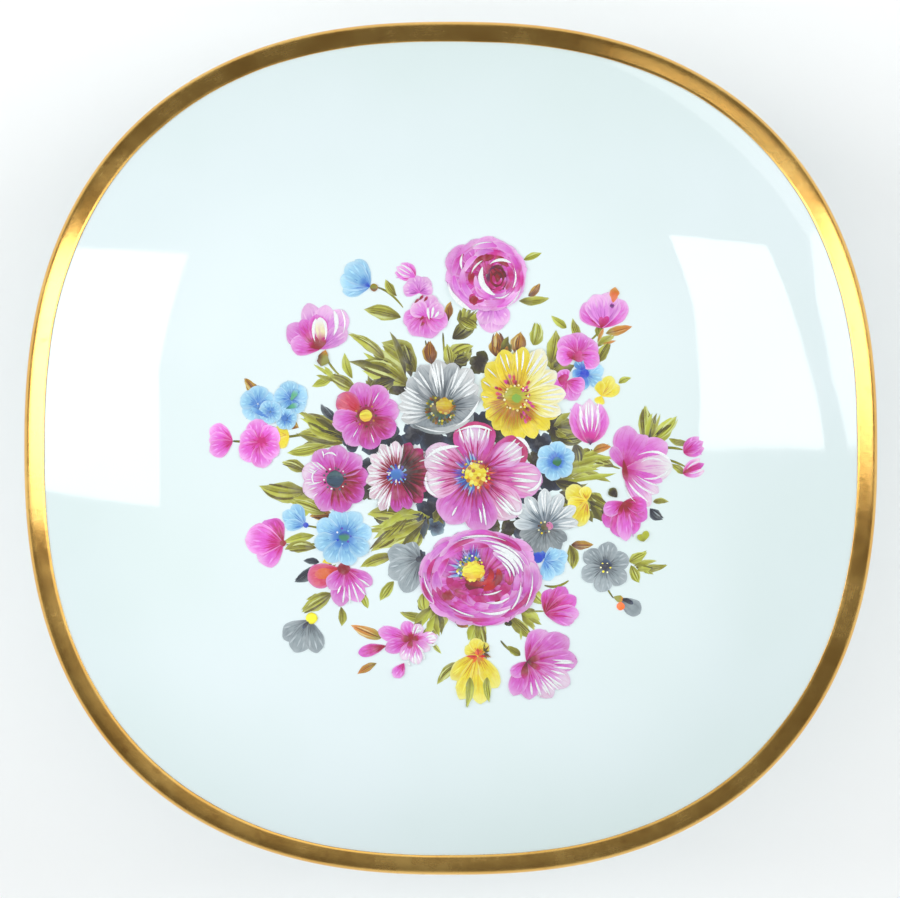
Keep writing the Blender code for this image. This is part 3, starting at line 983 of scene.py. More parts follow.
LEAF_ROWS = {
    "top_left": (
        (-6.3, 16.5, -10.9, 17.5, 1.9, "olive"),
        (-6.8, 19.2, -8.2, 21.3, 1.1, "olive"),
        (-8.4, 11.3, -12.9, 14.4, 1.4, "olive"),
        (-12.4, 8.8, -13.4, 12.0, 1.1, "lime"),
        (-14.5, 9.4, -17.5, 7.8, 1.1, "lime"),
        (-11.6, 7.0, -15.4, 9.2, 1.7, "olive"),
        (-5.4, 7.9, -11.6, 10.8, 3.0, "olive"),
        (-7.0, 8.6, -10.2, 7.4, 2.2, "dark"),
        (-4.4, 9.6, -8.6, 13.2, 3.8, "olive"),
        (-5.0, 10.4, -6.0, 13.0, 1.6, "dark"),
        (-2.3, 10.6, -2.6, 13.5, 1.9, "brown"),
        (0.0, 10.4, -0.5, 13.1, 1.5, "olive"),
        (-14.4, 3.5, -16.4, 5.5, 1.2, "night"),
        (-24.0, 6.2, -26.1, 8.8, 1.5, "brown"),
    ),
    "top_right": (
        (9.2, 23.8, 11.5, 24.7, 0.9, "lime"),
        (8.6, 18.6, 12.4, 18.9, 1.2, "olive"),
        (9.8, 19.2, 11.2, 20.8, 1.0, "brown"),
        (-0.3, 16.0, 0.0, 18.5, 1.1, "brown"),
        (0.2, 13.8, 3.4, 17.2, 2.0, "dark"),
        (1.0, 16.4, 3.2, 15.2, 2.2, "olive"),
        (-0.4, 11.2, 2.8, 12.9, 2.1, "olive"),
        (0.4, 11.0, 2.2, 11.6, 1.7, "dark"),
        (5.6, 11.6, 5.8, 14.6, 2.2, "brown"),
        (8.4, 11.8, 8.8, 14.6, 2.0, "brown"),
        (10.4, 13.0, 10.9, 15.8, 1.8, "lime"),
        (12.6, 10.6, 13.3, 14.8, 1.9, "olive"),
        (12.4, 10.2, 13.0, 12.6, 1.6, "dark"),
        (14.6, 15.2, 12.7, 16.7, 1.0, "lime"),
        (16.4, 13.8, 15.4, 16.4, 1.1, "olive"),
        (19.6, 14.5, 22.9, 15.4, 1.2, "rust"),
        (18.8, 15.6, 18.6, 14.0, 0.9, "olive"),
        (18.4, 10.8, 20.1, 13.4, 1.4, "olive"),
        (21.2, 8.2, 22.8, 8.9, 0.8, "lime"),
        (18.0, -0.4, 20.2, 0.2, 1.1, "rust"),
        (17.6, -0.2, 16.4, -1.0, 1.0, "olive"),
        (24.7, 0.6, 24.5, 5.3, 2.0, "olive"),
        (25.2, 0.8, 28.6, 4.0, 2.1, "lime"),
        (25.0, 0.8, 26.0, 4.4, 0.8, "dark"),
        (30.4, 0.6, 27.6, 1.2, 0.9, "olive"),
        (29.6, -3.2, 27.8, -2.0, 0.9, "olive"),
        (15.6, 0.6, 16.0, -2.8, 1.8, "dark"),
        (13.6, 1.2, 17.2, 1.6, 1.6, "dark"),
        (13.2, 1.8, 16.6, 3.2, 1.8, "olive"),
        (20.6, -2.4, 17.0, -1.2, 1.4, "olive"),
    ),
    "left": (
        (-13.2, 1.4, -18.6, 4.2, 2.6, "olive"),
        (-13.6, 0.6, -19.2, 1.8, 2.4, "olive"),
        (-13.0, 1.0, -17.2, 2.2, 1.6, "dark"),
        (-15.8, 0.4, -20.6, -0.6, 1.6, "lime"),
        (-16.6, -0.6, -18.4, 0.6, 1.6, "brown"),
        (-18.2, -3.0, -21.3, -1.8, 1.5, "olive"),
        (-18.0, -5.4, -24.2, -4.8, 2.7, "olive"),
        (-15.8, -8.2, -20.0, -6.6, 1.7, "olive"),
        (-14.8, -8.6, -17.8, -8.6, 1.5, "brown"),
        (-17.2, -11.0, -21.2, -11.9, 1.2, "lime"),
        (-17.0, -12.6, -20.9, -12.7, 1.6, "olive"),
        (-17.0, -14.8, -19.7, -16.9, 1.4, "night"),
        (-16.6, -14.4, -18.6, -14.2, 0.9, "night"),
        (-21.0, 3.4, -19.2, 2.6, 1.2, "brown"),
    ),
    "bottom_left": (
        (-2.6, -8.6, -9.2, -10.4, 2.8, "lime"),
        (-3.0, -9.8, -8.6, -12.4, 2.6, "olive"),
        (-4.6, -9.4, -10.4, -8.2, 2.4, "olive"),
        (-5.4, -8.6, -10.0, -13.0, 2.2, "olive"),
        (-3.4, -10.4, -6.4, -13.2, 1.8, "lime"),
        (-7.2, -13.6, -11.4, -15.0, 1.5, "olive"),
        (-7.2, -16.8, -8.9, -19.2, 1.3, "lime"),
        (-15.0, -18.3, -18.8, -20.7, 2.0, "olive"),
        (-13.9, -20.0, -13.8, -22.5, 1.1, "olive"),
        (-11.4, -18.0, -10.5, -20.2, 1.0, "lime"),
        (-8.8, -24.0, -12.6, -22.4, 1.5, "rust"),
        (-9.4, -27.2, -11.8, -28.6, 1.0, "rust"),
        (-3.0, -21.4, -6.4, -20.7, 1.2, "olive"),
        (-1.4, -20.0, -2.0, -23.6, 2.3, "olive"),
        (-3.4, -18.2, -3.2, -20.6, 1.6, "lime"),
        (0.4, -21.8, 2.2, -22.6, 1.1, "brown"),
        (-2.4, -24.6, -1.2, -26.0, 0.6, "lime"),
        (1.2, -27.2, -1.7, -29.9, 1.4, "olive"),
    ),
    "bottom_right": (
        (7.4, -21.2, 10.2, -23.9, 1.6, "olive"),
        (3.6, -21.6, 4.2, -24.8, 1.6, "olive"),
        (10.2, -17.8, 11.8, -19.6, 1.5, "lime"),
        (15.0, -12.2, 15.4, -15.2, 1.6, "olive"),
        (15.2, -12.2, 18.0, -12.2, 1.2, "brown"),
        (18.0, -6.4, 20.0, -9.4, 1.8, "dark"),
        (17.4, -5.8, 19.6, -7.2, 1.7, "olive"),
        (22.6, -14.4, 24.8, -13.2, 1.3, "lime"),
        (23.4, -15.0, 27.4, -14.8, 1.1, "olive"),
        (22.8, -14.8, 23.8, -17.0, 1.3, "lime"),
        (25.2, -7.6, 26.8, -9.0, 1.4, "night"),
        (25.6, -6.8, 27.6, -6.8, 0.8, "olive"),
        (8.8, -26.2, 7.2, -25.0, 1.0, "olive"),
        (10.6, -20.4, 9.4, -21.0, 0.8, "olive"),
        (13.2, -4.2, 16.6, -5.0, 1.8, "dark"),
    ),
}


def paint_leaves():
    """The leaves that stand out one by one."""
    for region, rows in LEAF_ROWS.items():
        leaves = Enamel("leaves_" + region, 0)
        for index, (x, y, to_x, to_y, width, tone) in enumerate(rows):
            leaves.lift = (0.5 + 0.25 * (index % 4)) * LAYER  # neighbours at four heights
            leaves.leaf(x, y, to_x, to_y, width, tone, leaves.random.uniform(-0.16, 0.16))
        leaves.finish()


CLUMPS = (
    (-5.5, 8.2, 140, 40, 6.5, 1.6, ("olive", "dark", "lime", "dark"), 12),
    (-9.0, 6.6, 150, 30, 4.0, 1.2, ("olive", "dark"), 8),
    (1.5, 10.8, 95, 50, 2.4, 1.0, ("dark", "olive"), 8),
    (6.5, 11.6, 90, 50, 2.6, 1.2, ("brown", "dark"), 8),
    (12.6, 9.4, 60, 30, 3.6, 1.2, ("olive", "dark"), 7),
    (12.8, 2.6, 10, 45, 4.2, 1.3, ("dark", "olive"), 9),
    (13.5, -3.0, 4, 20, 7.2, 0.9, ("lime", "olive", "lime"), 14),
    (13.6, -5.6, -8, 36, 4.6, 1.2, ("dark", "olive"), 9),
    (17.2, -6.6, -40, 30, 3.4, 1.2, ("dark", "olive"), 7),
    (-13.4, 1.2, 168, 24, 6.4, 1.2, ("olive", "lime", "dark"), 13),
    (-13.8, -1.6, 200, 30, 3.6, 1.1, ("olive", "dark"), 7),
    (-16.4, -6.4, 196, 26, 4.2, 1.1, ("olive", "lime"), 7),
    (-3.2, -8.6, 204, 34, 7.4, 1.3, ("lime", "olive", "lime", "dark"), 18),
    (-3.4, -8.0, 236, 34, 3.8, 1.2, ("night", "dark"), 9),
    (-1.2, -7.4, 262, 24, 2.6, 1.2, ("night", "dark"), 7),
    (-14.4, -14.6, 230, 30, 3.6, 1.0, ("olive", "brown"), 6),
    (-15.4, -18.6, 214, 24, 3.2, 0.9, ("olive", "dark"), 5),
    (-2.2, -20.0, 246, 40, 3.8, 1.1, ("olive", "dark", "lime"), 10),
    (8.8, -20.8, -50, 36, 3.2, 1.0, ("olive", "lime"), 6),
    (3.4, -22.0, -90, 24, 3.0, 0.9, ("lime", "olive"), 6),
    (24.8, 0.9, 66, 34, 3.8, 0.9, ("lime", "olive", "dark"), 8),
    (23.0, -14.8, -6, 44, 3.2, 0.9, ("lime", "olive"), 7),
    (18.4, 12.8, 40, 40, 2.6, 0.8, ("olive", "rust"), 5),
    (-14.6, 8.6, 160, 40, 2.8, 0.8, ("lime", "olive"), 5),
    (1.4, 15.0, 60, 34, 3.0, 1.0, ("dark", "olive"), 6),
)


def paint_foliage():
    """Loose, ragged strokes of leaf green and of shadow that fan out between the flowers."""
    clumps = Enamel("foliage", 0)
    stray = clumps.random.uniform
    for index, (x, y, angle, spread, length, width, tones, count) in enumerate(CLUMPS):
        clumps.lift = (0.5 + 0.2 * (index % 3)) * LAYER
        for step in range(count):
            turn = angle + stray(-spread, spread)
            start = polar(x, y, turn + stray(-70, 70), length * stray(0.0, 0.3))
            far = length * stray(0.55, 0.95)
            wash = LEAVES[tones[step % len(tones)]]
            bend = stray(-0.14, 0.14) * far
            broad = width * stray(0.5, 1.05)
            clumps.petal(*start, turn, far, broad, wash, bend, peak=0.5, blunt=0.9, ragged=0.2)
    clumps.finish()


# ---------------------------------------------------------------- flowers


def bud(name, x, y, angle, length, width, wash, side=None, stripes=3, layer=2.0):
    """A closed bud from its calyx: two petals behind a pointed one, with white stripes."""
    flower = Enamel(name, layer)
    behind = [(angle + 17, length * 0.96, width * 0.62), (angle - 17, length * 0.92, width * 0.62)]
    flower.petals(x, y, side or wash, behind, peak=0.5, blunt=0.7)
    flower.petals(x, y, wash, [(angle, length, width * 0.56)], peak=0.5, blunt=0.75)
    for step in range(stripes):
        lean = (step - (stripes - 1) / 2) / max(stripes - 1, 1)
        near = polar(x, y, angle + lean * 44, length * 0.24)
        middle = polar(x, y, angle + lean * 52, length * 0.6)
        far = polar(x, y, angle + lean * 22, length * 0.90)
        flower.light([near, middle, far], 0.12 + width * 0.03)
    return flower


def golden_eye(flower, x, y):
    """Two rings of gold dots on an eye."""
    flower.stamens(x, y, 1.1, 13, GOLD_SPOTS, 0.26)
    flower.stamens(x, y, 0.5, 6, GOLD_SPOTS, 0.24)


def paint_top_left():
    """A blue bell, a bud, a double pink flower, a pink tulip and a pink cosmos."""
    bell = Enamel("bell_blue", 2)
    shapes = ((188, 3.5, 2.0), (116, 3.9, 2.0), (164, 3.9, 2.6), (138, 4.1, 2.8))
    bell.petals(-10.2, 20.4, SKY_PETAL, shapes, notch=0.06)
    bell.petals(-10.2, 20.4, BLUE_PETAL, ((150, 1.8, 1.2),))
    bell.dot(-9.7, 20.3, 0.5, Wash(OLIVE, right=BROWN, rim=AMBER))
    bell.finish()
    bud("bud_striped", -4.5, 21.6, 150, 2.7, 2.6, PETAL_PALE, PETAL).finish()
    double = Enamel("double_pink", 2, 0.88)
    double.petals(-4.0, 19.6, LILAC, ((60, 2.2, 2.0), (110, 2.3, 2.2), (160, 2.1, 2.0), (20, 1.8, 1.6)))
    double.petals(
        -3.2, 16.9, PETAL, ((200, 2.9, 2.6), (240, 3.1, 2.8), (285, 3.1, 2.8), (330, 3.0, 2.8))
    )
    double.petals(-3.0, 16.6, PETAL_PALE, ((80, 2.8, 2.4), (30, 2.4, 2.2), (140, 2.4, 2.4)))
    for x, y in ((-4.6, 18.3), (-4.0, 18.7), (-3.4, 18.5), (-3.8, 15.4), (-3.9, 16.1)):
        double.petal(x, y, 80 + x * 8, 0.8, 0.34, STREAK)
    double.lights(-2.6, 15.6, ((100, 0.6, 2.2), (80, 0.8, 2.3), (60, 1.0, 2.0)), 0.34)
    double.finish()
    tulip = Enamel("tulip_pink", 2, 0.88)
    x, y = -16.5, 12.5
    tulip.petals(x, y, LILAC, ((106, 6.0, 2.8), (82, 5.6, 2.8)))
    tulip.petals(x, y, PETAL, ((146, 5.0, 3.2), (168, 3.8, 2.6)))
    tulip.petals(x, y, LILAC, ((58, 5.7, 3.4), (38, 4.2, 2.4)))
    tulip.petals(x, y, PETAL_DEEP, ((122, 4.4, 2.2), (96, 4.4, 2.6)))
    tulip.petal(
        -16.3, 13.0, 94, 3.5, 1.7,
        Wash(CREAM, inner=CRIMSON, tip=WHITE, rim=WHITE, vein=PINK, veining=0.4),
    )
    tulip.petals(x, y, STREAK, ((150, 1.6, 0.8), (116, 1.9, 0.8), (70, 1.6, 0.8)))
    tulip.relief((
        ([(-17.1, 13.4), (-17.7, 15.0), (-17.0, 16.4)], 0.40),
        ([(-15.9, 13.6), (-15.4, 15.0), (-16.2, 16.4)], 0.32),
        ([(-14.8, 14.2), (-14.0, 15.8), (-14.8, 17.4)], 0.56),
        ([(-13.6, 14.4), (-13.0, 16.2), (-13.9, 17.6)], 0.22),
    ))
    tulip.petal(-15.8, 12.4, -105, 2.0, 1.5, Wash(OLIVE, inner=AMBER, right=BROWN), ragged=0.15)
    tulip.finish()
    cosmos = Enamel("cosmos_pink", 3, 0.80)
    x, y = -10.7, 4.1
    tones = (PETAL, PETAL, PETAL, PETAL_WARM, PETAL, PETAL, PETAL_DEEP, PETAL_RED)
    for step, wash in enumerate(tones):
        cosmos.petals(x, y, wash, ((12 + 45 * step, 4.3, 3.0),), 0.5, notch=0.05)
    cosmos.lights(x, y, ((60, 1.6, 3.4), (238, 1.8, 3.2), (286, 2.2, 3.6)), 0.14)
    cosmos.dot(x, y, 1.15, Wash(CRIMSON, rim=MAGENTA))
    cosmos.dot(x, y, 0.85, EYE, crown=0.05 * MM)
    cosmos.stamens(x, y, 1.25, 12, [Wash(BROWN), Wash(CRIMSON), Wash(AMBER)], 0.13)
    cosmos.finish()


def paint_far_left():
    """Small blue flowers, a pair of pink ones and a yellow one."""
    blue = Enamel("blues_left", 1.8)
    for x, y, radius in ((-24.4, 5.6, 2.3), (-20.2, 6.3, 2.2), (-20.8, 3.7, 1.4), (-22.8, 4.6, 1.5)):
        blue.petals(x, y, SKY_PETAL, ring(5, radius, radius * 1.1, 20 * x), 0.1)
    blue.petal(-23.0, 3.8, 150, 2.6, 0.6, Wash(BLUE, tip=SKY))
    blue.petal(-20.2, 6.0, 60, 1.6, 0.7, Wash((110, 190, 150), tip=SKY))
    blue.petal(-20.8, 5.0, 20, 1.7, 0.6, Wash((110, 190, 150), inner=TEAL, tip=SKY))
    blue.dot(-21.0, 3.8, 0.35, Wash(BLUE))
    blue.finish()
    pair = Enamel("pair_pink", 2, 1.08)
    pair.petals(-27.6, 0.9, PETAL, ((150, 3.3, 2.4), (178, 3.0, 2.2), (206, 3.2, 2.4)))
    pair.petals(
        -24.2, 0.7, PETAL,
        (
            (100, 3.0, 2.8), (160, 2.5, 2.8), (220, 3.0, 2.8), (278, 3.2, 2.8), (36, 2.8, 2.8),
            (330, 2.8, 2.6),
        ),
    )
    pair.dot(-23.9, 0.9, 0.6, Wash(MAGENTA, rim=ROSE))
    pair.petals(-23.9, 0.9, Wash(ROSE, tip=PINK), ring(5, 1.2, 0.4, 10))
    pair.finish()
    yellow = Enamel("yellow_left", 1.9)
    yellow.petals(-20.4, 1.5, SOFT_YELLOW, ((140, 2.0, 1.5), (180, 2.2, 1.7), (222, 2.0, 1.5)))
    yellow.finish()


def paint_top_rose():
    """The pink rose at the top."""
    rose = Enamel("rose_top", 3, 0.92)
    broad = dict(peak=0.7, blunt=0.4)
    rose.petals(5.2, 18.6, LILAC, ((270, 4.0, 3.4), (298, 3.4, 2.6), (244, 3.2, 2.2)))
    x, y = 4.6, 21.8
    rose.petals(
        x, y, PETAL, ((186, 5.2, 4.0), (150, 5.6, 4.2), (112, 4.8, 4.4), (80, 4.9, 4.6)), 0.2, **broad
    )
    rose.petals(
        x, y, PETAL, ((44, 4.8, 4.4), (12, 5.0, 4.4), (336, 4.9, 4.4), (300, 4.6, 4.4)), 0.2, **broad
    )
    rose.petals(x, y, PETAL, ((222, 4.9, 4.4), (262, 4.4, 4.4)), 0.2, **broad)
    light = [PETAL_PALE, LILAC, Wash(BLUSH, tip=PINK, inner=PALE, vein=ROSE, veining=0.5)]
    mid = [PETAL, Wash(ROSE, tip=PINK, inner=BLUSH, vein=MAGENTA, veining=0.6)]
    deep = [Wash(MAGENTA, inner=ROSE, tip=PINK), Wash(CRIMSON, inner=MAGENTA, tip=ROSE), PETAL_RED]
    rose.arcs(x, y, 4.2, 4.0, -60, 250, 9, 1.0, light + mid)
    rose.arcs(5.0, 21.6, 3.5, 3.3, 60, 300, 7, 0.9, mid + light)
    rose.arcs(5.2, 21.6, 3.1, 2.9, -80, 100, 5, 0.7, mid + deep)
    rose.arcs(5.3, 21.6, 2.6, 2.6, 60, 200, 5, 0.8, deep)
    rose.arcs(5.4, 21.5, 2.3, 2.3, 180, 300, 3, 0.9, light)
    rose.arcs(5.9, 21.6, 1.7, 2.0, -90, 90, 4, 0.8, mid + deep)
    rose.petal(
        4.7, 23.3, -62, 3.8, 2.4,
        Wash(CRIMSON, inner=MAGENTA, tip=(130, 10, 60), vein=(90, 0, 40), veining=0.9), ragged=0.12,
    )
    core = [
        Wash((130, 8, 44)), Wash(CRIMSON, tip=MAGENTA), Wash((116, 30, 96), tip=MAGENTA),
        Wash(MAGENTA, tip=BLUSH),
    ]
    rose.arcs(5.8, 21.5, 1.1, 1.4, 0, 360, 7, 0.5, core)
    rose.arcs(5.9, 21.5, 0.5, 0.7, 0, 360, 4, 0.4, core)
    rose.dot(2.9, 18.7, 0.6, RED_EYE, ragged=0.2)
    rose.arcs(3.4, 19.0, 0.9, 0.5, 120, 330, 3, 0.5, deep)
    rose.relief((
        ([(-0.3, 20.8), (-0.1, 18.8), (2.6, 17.4)], 0.60),
        ([(1.5, 24.6), (1.1, 23.6), (1.4, 22.6)], 0.30),
    ))
    rose.stroke(
        [(4.0, 22.9), (3.2, 20.4), (5.6, 19.3)], 0.75, Wash(WHITE, inner=PALE, tip=PALE),
        crown=RAISED, white=True, ragged=0.12,
    )
    rose.relief((
        ([(2.6, 22.0), (2.9, 23.1), (4.0, 23.7)], 0.24),
        ([(4.9, 23.2), (6.1, 24.3), (7.6, 23.4)], 0.40),
        ([(8.0, 22.8), (8.5, 21.4), (7.8, 20.2)], 0.22),
        ([(5.4, 19.1), (6.6, 18.7), (7.4, 19.6)], 0.20),
        ([(2.4, 25.2), (3.6, 26.2), (5.2, 26.0)], 0.16),
        ([(8.9, 20.6), (8.6, 18.8), (7.0, 17.9)], 0.16),
    ))
    rose.finish()


def paint_silver_daisy():
    """A grey cup seen from a little in front: tall petals behind, a folded rim before."""
    daisy = Enamel("daisy_silver", 4, 0.66)
    x, y = -1.0, 5.1
    rim = Wash((196, 204, 208), inner=GREY, tip=(176, 186, 192), rim=SILVER, vein=SLATE, veining=0.6)
    daisy.petals(
        x, y + 0.4, rim,
        ((212, 4.8, 2.8), (240, 3.8, 3.0), (268, 3.5, 3.2), (296, 3.7, 3.0), (326, 4.4, 2.8)),
    )
    grey = Wash(
        (176, 184, 190), inner=(112, 120, 126), tip=(206, 214, 218), rim=WHITE,
        vein=(110, 120, 128), veining=0.8,
    )
    pale = Wash(
        (214, 222, 226), inner=(140, 150, 156), tip=WHITE, rim=WHITE, vein=(130, 142, 150), veining=0.7
    )
    daisy.petals(x, y, pale, ((196, 5.4, 2.0), (180, 5.6, 2.0), (164, 5.6, 2.2)), 0.4)
    daisy.petals(x, y, grey, ((140, 5.6, 3.0), (118, 6.0, 3.2)), 0.4)
    daisy.petals(x, y, pale, ((96, 6.0, 2.8),), 0.4)
    daisy.petals(x, y, grey, ((76, 5.8, 2.8),), 0.4)
    daisy.petals(x, y, pale, ((54, 6.0, 2.8), (32, 5.2, 2.4)), 0.4)
    daisy.petals(x, y, grey, ((12, 4.8, 2.0),), 0.4)
    for angle in (202, 194, 186, 178, 170, 162):
        daisy.light(
            [polar(x, y, angle, 2.6), polar(x, y, angle - 4, 4.2), polar(x, y, angle - 9, 5.5)], 0.30
        )
    daisy.lights(
        x, y,
        (
            (150, 3.4, 5.4), (132, 3.2, 5.6), (124, 2.6, 5.6), (110, 1.8, 5.8), (103, 2.4, 5.8),
            (96, 1.8, 5.8), (89, 2.4, 5.7),
        ),
        0.28,
    )
    daisy.lights(
        x, y,
        (
            (66, 2.4, 5.6), (60, 2.0, 5.8), (53, 2.0, 5.8), (46, 2.6, 5.5), (36, 2.6, 5.0),
            (27, 2.8, 4.8),
        ),
        0.30,
    )
    daisy.stroke(
        [(-4.8, 2.9), (-1.2, 1.2), (2.4, 3.6)], 0.9,
        Wash((222, 228, 230), inner=GREY, tip=WHITE, vein=GREY, veining=0.6), ragged=0.12,
    )
    daisy.relief((
        ([(-4.6, 3.0), (-2.6, 2.0), (-0.6, 2.1)], 0.22),
        ([(0.4, 2.7), (2.6, 3.6), (3.5, 6.0)], 0.36),
    ))
    dish = [
        Wash((150, 140, 60)), Wash(BROWN, tip=AMBER), Wash(TEAL, tip=OLIVE), Wash(MOSS, tip=YELLOW),
        Wash((116, 130, 124)),
    ]
    daisy.dot(
        x - 0.5, y - 0.3, 1.55,
        Wash((136, 130, 60), left=BROWN, right=TEAL, rim=GREY, vein=MOSS, veining=0.7), ragged=0.15,
    )
    for angle in range(120, 420, 12):
        daisy.petal(*polar(x - 0.3, y - 0.2, angle, 0.9), angle, 1.1, 0.36, dish[angle // 12 % 5])
    daisy.dot(
        x + 0.2, y + 0.2, 1.05,
        Wash(YELLOW, left=LEMON, right=AMBER, rim=AMBER, vein=AMBER, veining=0.4), crown=0.06 * MM,
        ragged=0.1,
    )
    daisy.stamens(x + 0.2, y + 0.2, 0.8, 9, [Wash(LEMON), Wash((246, 232, 120))], 0.22)
    daisy.stamens(x - 0.1, y - 0.1, 1.4, 18, SPOTS, 0.14, 120, 350)
    daisy.finish()


def paint_yellow_daisy():
    """The yellow daisy, cream on its right, with red specks on its petals."""
    daisy = Enamel("daisy_yellow", 4, 0.90)
    x, y = 8.2, 6.4
    low = [
        (angle, 4.9 + 0.9 * math.cos(math.radians(angle + 30)), 2.3) for angle in range(196, 340, 20)
    ]
    daisy.petals(x, y, YELLOW_PETAL, low, 0.3, notch=0.05)
    daisy.petals(
        x, y, YELLOW_PETAL, ((176, 4.4, 2.6), (154, 4.8, 2.8), (130, 5.6, 2.9), (106, 6.2, 2.9)), 0.3
    )
    daisy.petals(x, y, CREAM_PETAL, ((342, 6.0, 2.4), (32, 6.0, 2.6)), 0.3)
    daisy.petals(
        x, y,
        Wash((248, 243, 165), inner=YELLOW, tip=CREAM, rim=WHITE, vein=(220, 206, 90), veining=0.6),
        ((4, 6.3, 2.7), (60, 6.9, 3.0)), 0.3,
    )
    daisy.petals(x, y, YELLOW_PETAL, ((82, 6.4, 2.6),), 0.3)
    daisy.lights(
        x, y,
        (
            (68, 3.4, 6.5), (63, 3.0, 6.6), (58, 3.0, 6.6), (53, 3.4, 6.3), (86, 3.2, 6.0),
            (78, 3.4, 6.0),
        ),
        0.26,
    )
    daisy.lights(
        x, y,
        (
            (36, 3.4, 5.6), (28, 3.4, 5.6), (9, 3.0, 6.0), (2, 3.0, 6.1), (356, 3.2, 5.8),
            (345, 3.4, 5.6), (338, 3.4, 5.2),
        ),
        0.24,
    )
    daisy.lights(
        x, y,
        (
            (110, 3.4, 5.8), (102, 3.6, 5.6), (134, 3.4, 5.2), (158, 3.4, 4.6), (180, 3.4, 4.3),
            (200, 3.4, 4.3),
        ),
        0.18,
    )
    for angle in range(190, 344, 7):
        near = 1.3 + daisy.random.random() * 0.8
        daisy.mark(
            x, y, angle + daisy.random.uniform(-2, 2), near, 3.4 + daisy.random.random(), 0.17,
            Wash(AMBER, tip=YELLOW),
        )
    daisy.dot(
        x, y, 1.5,
        Wash((214, 210, 80), left=LIME, right=AMBER, rim=YELLOW, vein=OLIVE, veining=0.6),
        ragged=0.15,
    )
    daisy.dot(x + 0.1, y - 0.1, 0.7, Wash((160, 200, 96), rim=LIME), crown=0.04 * MM, ragged=0.15)
    red = (STREAK, Wash(ROSE, tip=(244, 150, 150)), Wash(SCARLET, tip=ORANGE))
    for centre, spread, start in (
        (106, 26, 1.5), (34, 24, 1.2), (172, 22, 1.4), (320, 26, 1.2), (296, 10, 2.0)
    ):
        for step in range(6):
            angle = centre + daisy.random.uniform(-spread, spread)
            near = start + daisy.random.uniform(-0.3, 0.9)
            daisy.petal(*polar(x, y, angle, near), angle, 0.7, 0.34, red[step % 3])
    daisy.stamens(x, y, 1.5, 22, [Wash(CREAM), Wash(LEMON), Wash((250, 240, 170))], 0.13)
    daisy.finish()


def paint_right():
    """Pink buds and flowers, blue ones and a yellow one, right of the daisies."""
    bud_right = Enamel("bud_warm", 2)
    bud_right.petals(19.2, 15.2, PETAL, ((52, 4.4, 3.0), (128, 3.9, 3.0)))
    bud_right.petals(19.2, 15.2, LILAC, ((76, 4.6, 3.2), (104, 4.3, 3.2)))
    bud_right.petal(20.5, 18.4, 80, 1.9, 1.2, Wash(ORANGE, tip=AMBER, rim=(244, 200, 150)), ragged=0.15)
    bud_right.dot(20.4, 18.0, 0.30, Wash((110, 70, 130), rim=PINK), ragged=0.2)
    bud_right.petals(19.0, 15.2, THROAT, ((58, 1.7, 0.8), (90, 1.4, 0.7)))
    bud_right.finish()
    group = Enamel("pinks_right", 2)
    group.petals(
        15.9, 11.8, PETAL,
        ((30, 2.9, 2.8), (80, 2.8, 2.9), (130, 2.9, 2.8), (186, 2.6, 2.6), (340, 3.0, 2.6)),
    )
    group.petals(
        14.6, 8.4, PETAL,
        ((300, 2.6, 2.2), (240, 2.4, 2.2), (340, 2.4, 2.2), (180, 2.0, 2.0), (120, 1.6, 2.0)),
    )
    group.petals(15.4, 11.2, THROAT, ((40, 1.5, 0.8), (120, 1.2, 0.7), (0, 1.3, 0.7)))
    group.petals(13.5, 8.8, THROAT, ((10, 1.4, 0.8), (320, 1.2, 0.7)))
    group.finish()
    blue = Enamel("blue_right", 2.4)
    blue.petals(17.0, 9.2, SKY_PETAL, ((20, 2.4, 2.0), (330, 2.2, 1.8), (70, 2.0, 1.8)))
    blue.petals(
        16.8, 9.6, BLUE_PETAL, ((110, 1.8, 1.7), (200, 1.5, 1.4), (270, 2.2, 1.5), (240, 3.2, 1.4))
    )
    blue.dot(16.9, 9.4, 0.6, BLUE_EYE)
    blue.finish()
    yellow = Enamel("yellow_right", 2)
    yellow.petals(
        19.0, 6.6, SOFT_YELLOW, ((30, 2.6, 1.8), (62, 2.8, 1.8), (100, 2.0, 1.4), (250, 1.1, 1.4))
    )
    yellow.finish()
    tulip = bud("tulip_right", 17.6, 0.6, 92, 5.6, 5.4, PETAL_LIT, PETAL, stripes=4, layer=2.6)
    tulip.petals(
        17.6, 0.4, Wash(ROSE, inner=(110, 40, 110), tip=PINK), ((106, 2.4, 0.9), (78, 2.2, 0.9))
    )
    tulip.finish()
    blue = Enamel("blue_middle", 2)
    blue.petals(13.2, -1.6, SKY_PETAL, ring(6, 2.5, 2.2, 20))
    blue.petals(13.2, -1.6, BLUE_PETAL, ring(5, 1.4, 1.2, 50))
    blue.dot(13.4, -1.7, 0.62, Wash((70, 140, 90), left=BLUE, rim=TEAL))
    blue.finish()


